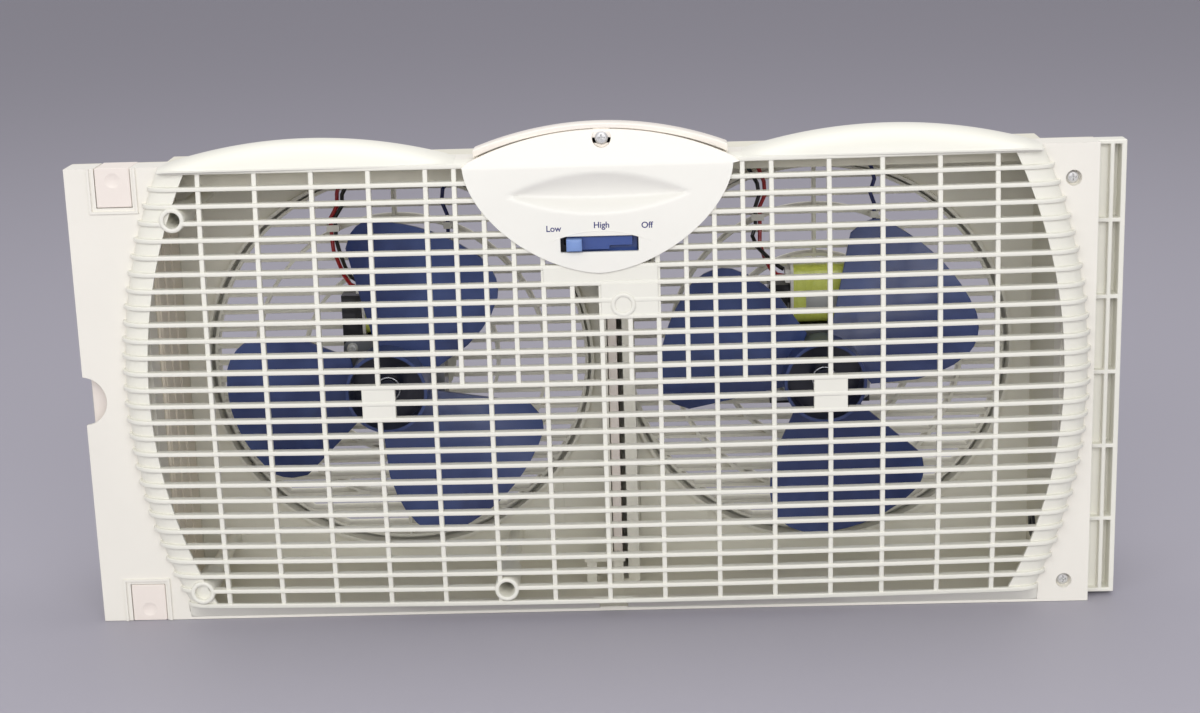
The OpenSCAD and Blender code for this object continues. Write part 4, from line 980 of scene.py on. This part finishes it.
def make_panel():
    """The panel as a closed shell: front grid, back grid and the wall round its edge."""
    drawing = bmesh.new()
    rows = panel_rows(columns)
    front = [[drawing.verts.new(point) for point in row] for row in rows]
    back = [[drawing.verts.new(set_back(point, panel_wall)) for point in row] for row in rows]
    for grid in (front, back):
        for low, high in zip(grid, grid[1:]):
            for k in range(len(columns) - 1):
                drawing.faces.new((low[k], low[k + 1], high[k + 1], high[k]))
    top, last = len(rows) - 1, len(columns) - 1
    rim = [(row, 0) for row in range(top)] + [(top, k) for k in range(last)]
    rim += [(row, last) for row in range(top, 0, -1)] + [(0, k) for k in range(last, 0, -1)]
    for (row, k), (next_row, next_k) in zip(rim, rim[1:] + rim[:1]):
        drawing.faces.new((front[row][k], front[next_row][next_k], back[next_row][next_k], back[row][k]))
    return drawing


panel = make_panel()
print("panel faces:", len(panel.faces))

# %% [markdown]
# The panel also has a skirt that reaches back into the grille all round the shield, and a slot for the
# switch. The slot, the screw's round recess and the tongue's room in the skirt are cut with Boolean
# modifiers, whose results are kept as plain mesh. A narrow bevel then softens the panel's own edges.
# %% Panel's skirt
skirt_back = 12


def shield_edge(share, inset=0.0):
    """A point of the shield's outline, share from 0 at the right corner to 1 at the left one."""
    c, s = math.cos(math.pi * share), math.sin(math.pi * share)
    power = 2 / shield_power
    x = math.copysign(abs(c) ** power, c) * (shield_half - inset)
    return x, crease_z - (shield_drop - inset) * s**power


def add_skirt(drawing, steps=72, wall=2.3):
    """The wall behind the shield's outline."""
    rings = []
    for k in range(steps + 1):
        x, z = shield_edge(k / steps)
        inner_x, inner_z = shield_edge(k / steps, wall)
        front = shield_front(x, min(z, crease_z)) + 1
        rings.append([(x, front, z), (inner_x, front, inner_z), (inner_x, face_y + skirt_back, inner_z),
                      (x, face_y + skirt_back, z)])
    skin(drawing, rings)


def cutter(name, build):
    """A helper object that only a Boolean modifier sees."""
    drawing = bmesh.new()
    build(drawing)
    return solid_from(name, drawing)


def carve(target, tools):
    """Cuts the tools out of the target, keeps the result as plain mesh and removes the tools."""
    for tool in tools:
        cut = target.modifiers.new(tool.name, "BOOLEAN")
        cut.object = tool
        cut.solver = "EXACT"
    bpy.context.view_layer.update()
    done = bpy.data.meshes.new_from_object(target.evaluated_get(bpy.context.evaluated_depsgraph_get()))
    target.modifiers.clear()
    target.data = done
    for tool in tools:
        bpy.data.objects.remove(tool)


print("skirt reaches back to y", face_y + skirt_back)

# %% Slot and recess
slot_z, slot_w, slot_h = 223.85, 43.4, 8.9
crown_screw_at, crown_seat_y, recess_r = (2.5, 281.5), face_y + 13.6, 5.2
tongue_y, tongue_low, tongue_high = face_y + 4.1, slot_z - 6.9, slot_z + 4.4
cut_from_y, cut_to_y = face_y - 8, face_y + 9


def add_slot(drawing, corner=0.6, steps=4):
    """A block with round corners where the switch shows."""
    outline = []
    for sx, sz, first in ((1, 1, 0), (-1, 1, 90), (-1, -1, 180), (1, -1, 270)):
        for k in range(steps + 1):
            turn = math.radians(first + 90 * k / steps)
            outline.append((sx * (slot_w / 2 - corner) + corner * math.cos(turn),
                            slot_z + sz * (slot_h / 2 - corner) + corner * math.sin(turn)))
    skin(drawing, [[(x, y, z) for x, z in outline] for y in (cut_from_y, cut_to_y)])


def add_recess(drawing):
    """The round hole in front of the crown screw's seat."""
    add_turned(drawing, crown_screw_at, [(recess_r, cut_from_y), (recess_r, crown_seat_y)])


def add_tongue_room(drawing):
    """The room in the skirt's right side into which the switch's tongue slides."""
    low, high = tongue_low, tongue_high
    section = [(tongue_y, low), (back_y, low), (back_y, high), (tongue_y, high)]
    skin(drawing, [[(x, y, z) for y, z in section] for x in (slot_w / 2 - 1.7, shield_half + 1)])


print("slot in mm:", slot_w, "by", slot_h)


# %% The crown's boss
def add_boss(drawing, radius=6.6, sides=48):
    """The boss behind the leaning wall, in which the crown's screw has its seat."""
    front, back = [], []
    for k in range(sides):
        turn = 2 * math.pi * k / sides
        x, z = crown_screw_at[0] + radius * math.cos(turn), crown_screw_at[1] + radius * math.sin(turn)
        y = shield_front(0, crease_z) + crown_lean * (z - crease_z) + panel_wall / 2
        front.append((x, y, z))
        back.append((x, max(y + 0.3, crown_seat_y + 1.9), z))
    skin(drawing, [front, back])


shell = piece("panel_moulding", panel, "panel_plastic", replaced=("control_panel",), sharp=50)
carve(shell, [cutter("slot_room", add_slot), cutter("screw_room", add_recess)])
smooth(shell.data, 50)
soften(shell, 0.5, angle=50)
skirt, boss = bmesh.new(), bmesh.new()
add_skirt(skirt)
carve(piece("panel_skirt", skirt, "panel_plastic"), [cutter("tongue_room", add_tongue_room)])
add_boss(boss)
carve(piece("crown_boss", boss, "panel_plastic"), [cutter("seat_room", add_recess)])
print("panel after carving:", len(shell.data.polygons), "faces")

# %% [markdown]
# The three switch positions are named in small dark blue letters, and a fine raised arc runs over
# the slot. Letters are text objects with the built-in font, made bolder by their offset.
# %% Labels
def label(words, x, z, size=4.8):
    """A printed word just proud of the shield's face."""
    text = bpy.data.curves.new("label_" + words.lower(), "FONT")
    text.body = words
    text.size = size * mm
    text.offset = 0.075 * mm
    text.extrude = 0.03 * mm
    text.align_x = "CENTER"
    text.materials.append(finish["label_ink"])
    made = bpy.data.objects.new(text.name, text)
    scene.collection.objects.link(made)
    lean = math.atan((shield_front(x, z + 1) - shield_front(x, z - 1)) / 2)
    made.rotation_euler = (math.pi / 2 - lean, 0, 0)
    made.location = Vector((grille_x + x, shield_front(x, z) - 0.04, z)) * mm
    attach(made, "case")


def add_arc(drawing, radius=69.5, reach=28.5, top=7.3, thick=0.5, steps=40):
    """The thin raised line that arches over the slot."""
    rings = []
    for k in range(steps + 1):
        x = reach * (2 * k / steps - 1)
        z = slot_z + top - radius + math.sqrt(radius**2 - x**2)
        taper = 0.25 + 0.75 * (1 - (2 * k / steps - 1) ** 6)
        y = shield_front(x, z)
        rings.append([(x, y + 0.3, z - thick * taper), (x, y - 0.22 * taper, z - 0.2 * taper),
                      (x, y - 0.22 * taper, z + 0.2 * taper), (x, y + 0.3, z + thick * taper)])
    skin(drawing, rings)


finish["label_ink"] = moulded("label_ink", paint(42, 44, 112), roughness=0.5, grain=0.03, edge=0.01)
for words, x, z in (("Low", -25.3, 231.3), ("High", 1.4, 232.8), ("Off", 26.6, 232.2)):
    label(words, x, z)
arc = bmesh.new()
add_arc(arc)
piece("label_arc", arc, "panel_plastic", sharp=70)

# %% [markdown]
# ## A patch on each coil
# The coils carry a small silver-grey paper patch on their front. It's left bare.
# %% Coil patches
finish["label_paper"] = moulded("label_paper", paint(186, 187, 184), roughness=0.3, coat=0.3)
patch_dx, patch_z, patch_half_w, patch_half_h = 2.6, 172.2, 10.7, 5.4
coil_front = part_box("right_coil")[0].y / mm


def add_patch(drawing, middle_x):
    """A thin patch with a soft front edge."""
    rings = []
    for proud, inset in ((-0.1, 0), (0.1, 0), (0.16, 0.1)):
        a, b = patch_half_w - inset, patch_half_h - inset
        corners = ((-a, -b), (a, -b), (a, b), (-a, b))
        rings.append([(middle_x + dx, coil_front - proud, patch_z + dz) for dx, dz in corners])
    skin(drawing, rings)


patches = bmesh.new()
for side in (-1, 1):
    add_patch(patches, side * fan_dx + patch_dx)
piece("coil_patches", patches, "bobbin_plastic", look="label_paper")

# %% [markdown]
# ## Throats behind the blades
# Each air hole of the plate behind the blades has a thin collar that reaches back to the guard. It comes
# from the same lathe, but its profile is a closed loop, so the last ring meets the first one.
# %% Throats
throat_in, throat_out = 117.9, 119.1
throat_front, throat_back = 45.9, 56
collar = [(throat_in, throat_front), (throat_out, throat_front),
          (throat_out, throat_back), (throat_in, throat_back)]

throats = bmesh.new()
for side in (-1, 1):
    add_turned(throats, (side * fan_dx, fan_z), collar, sides=96, round_trip=True)
piece("throat_collars", throats, "inner_plastic", look="grille_plastic")
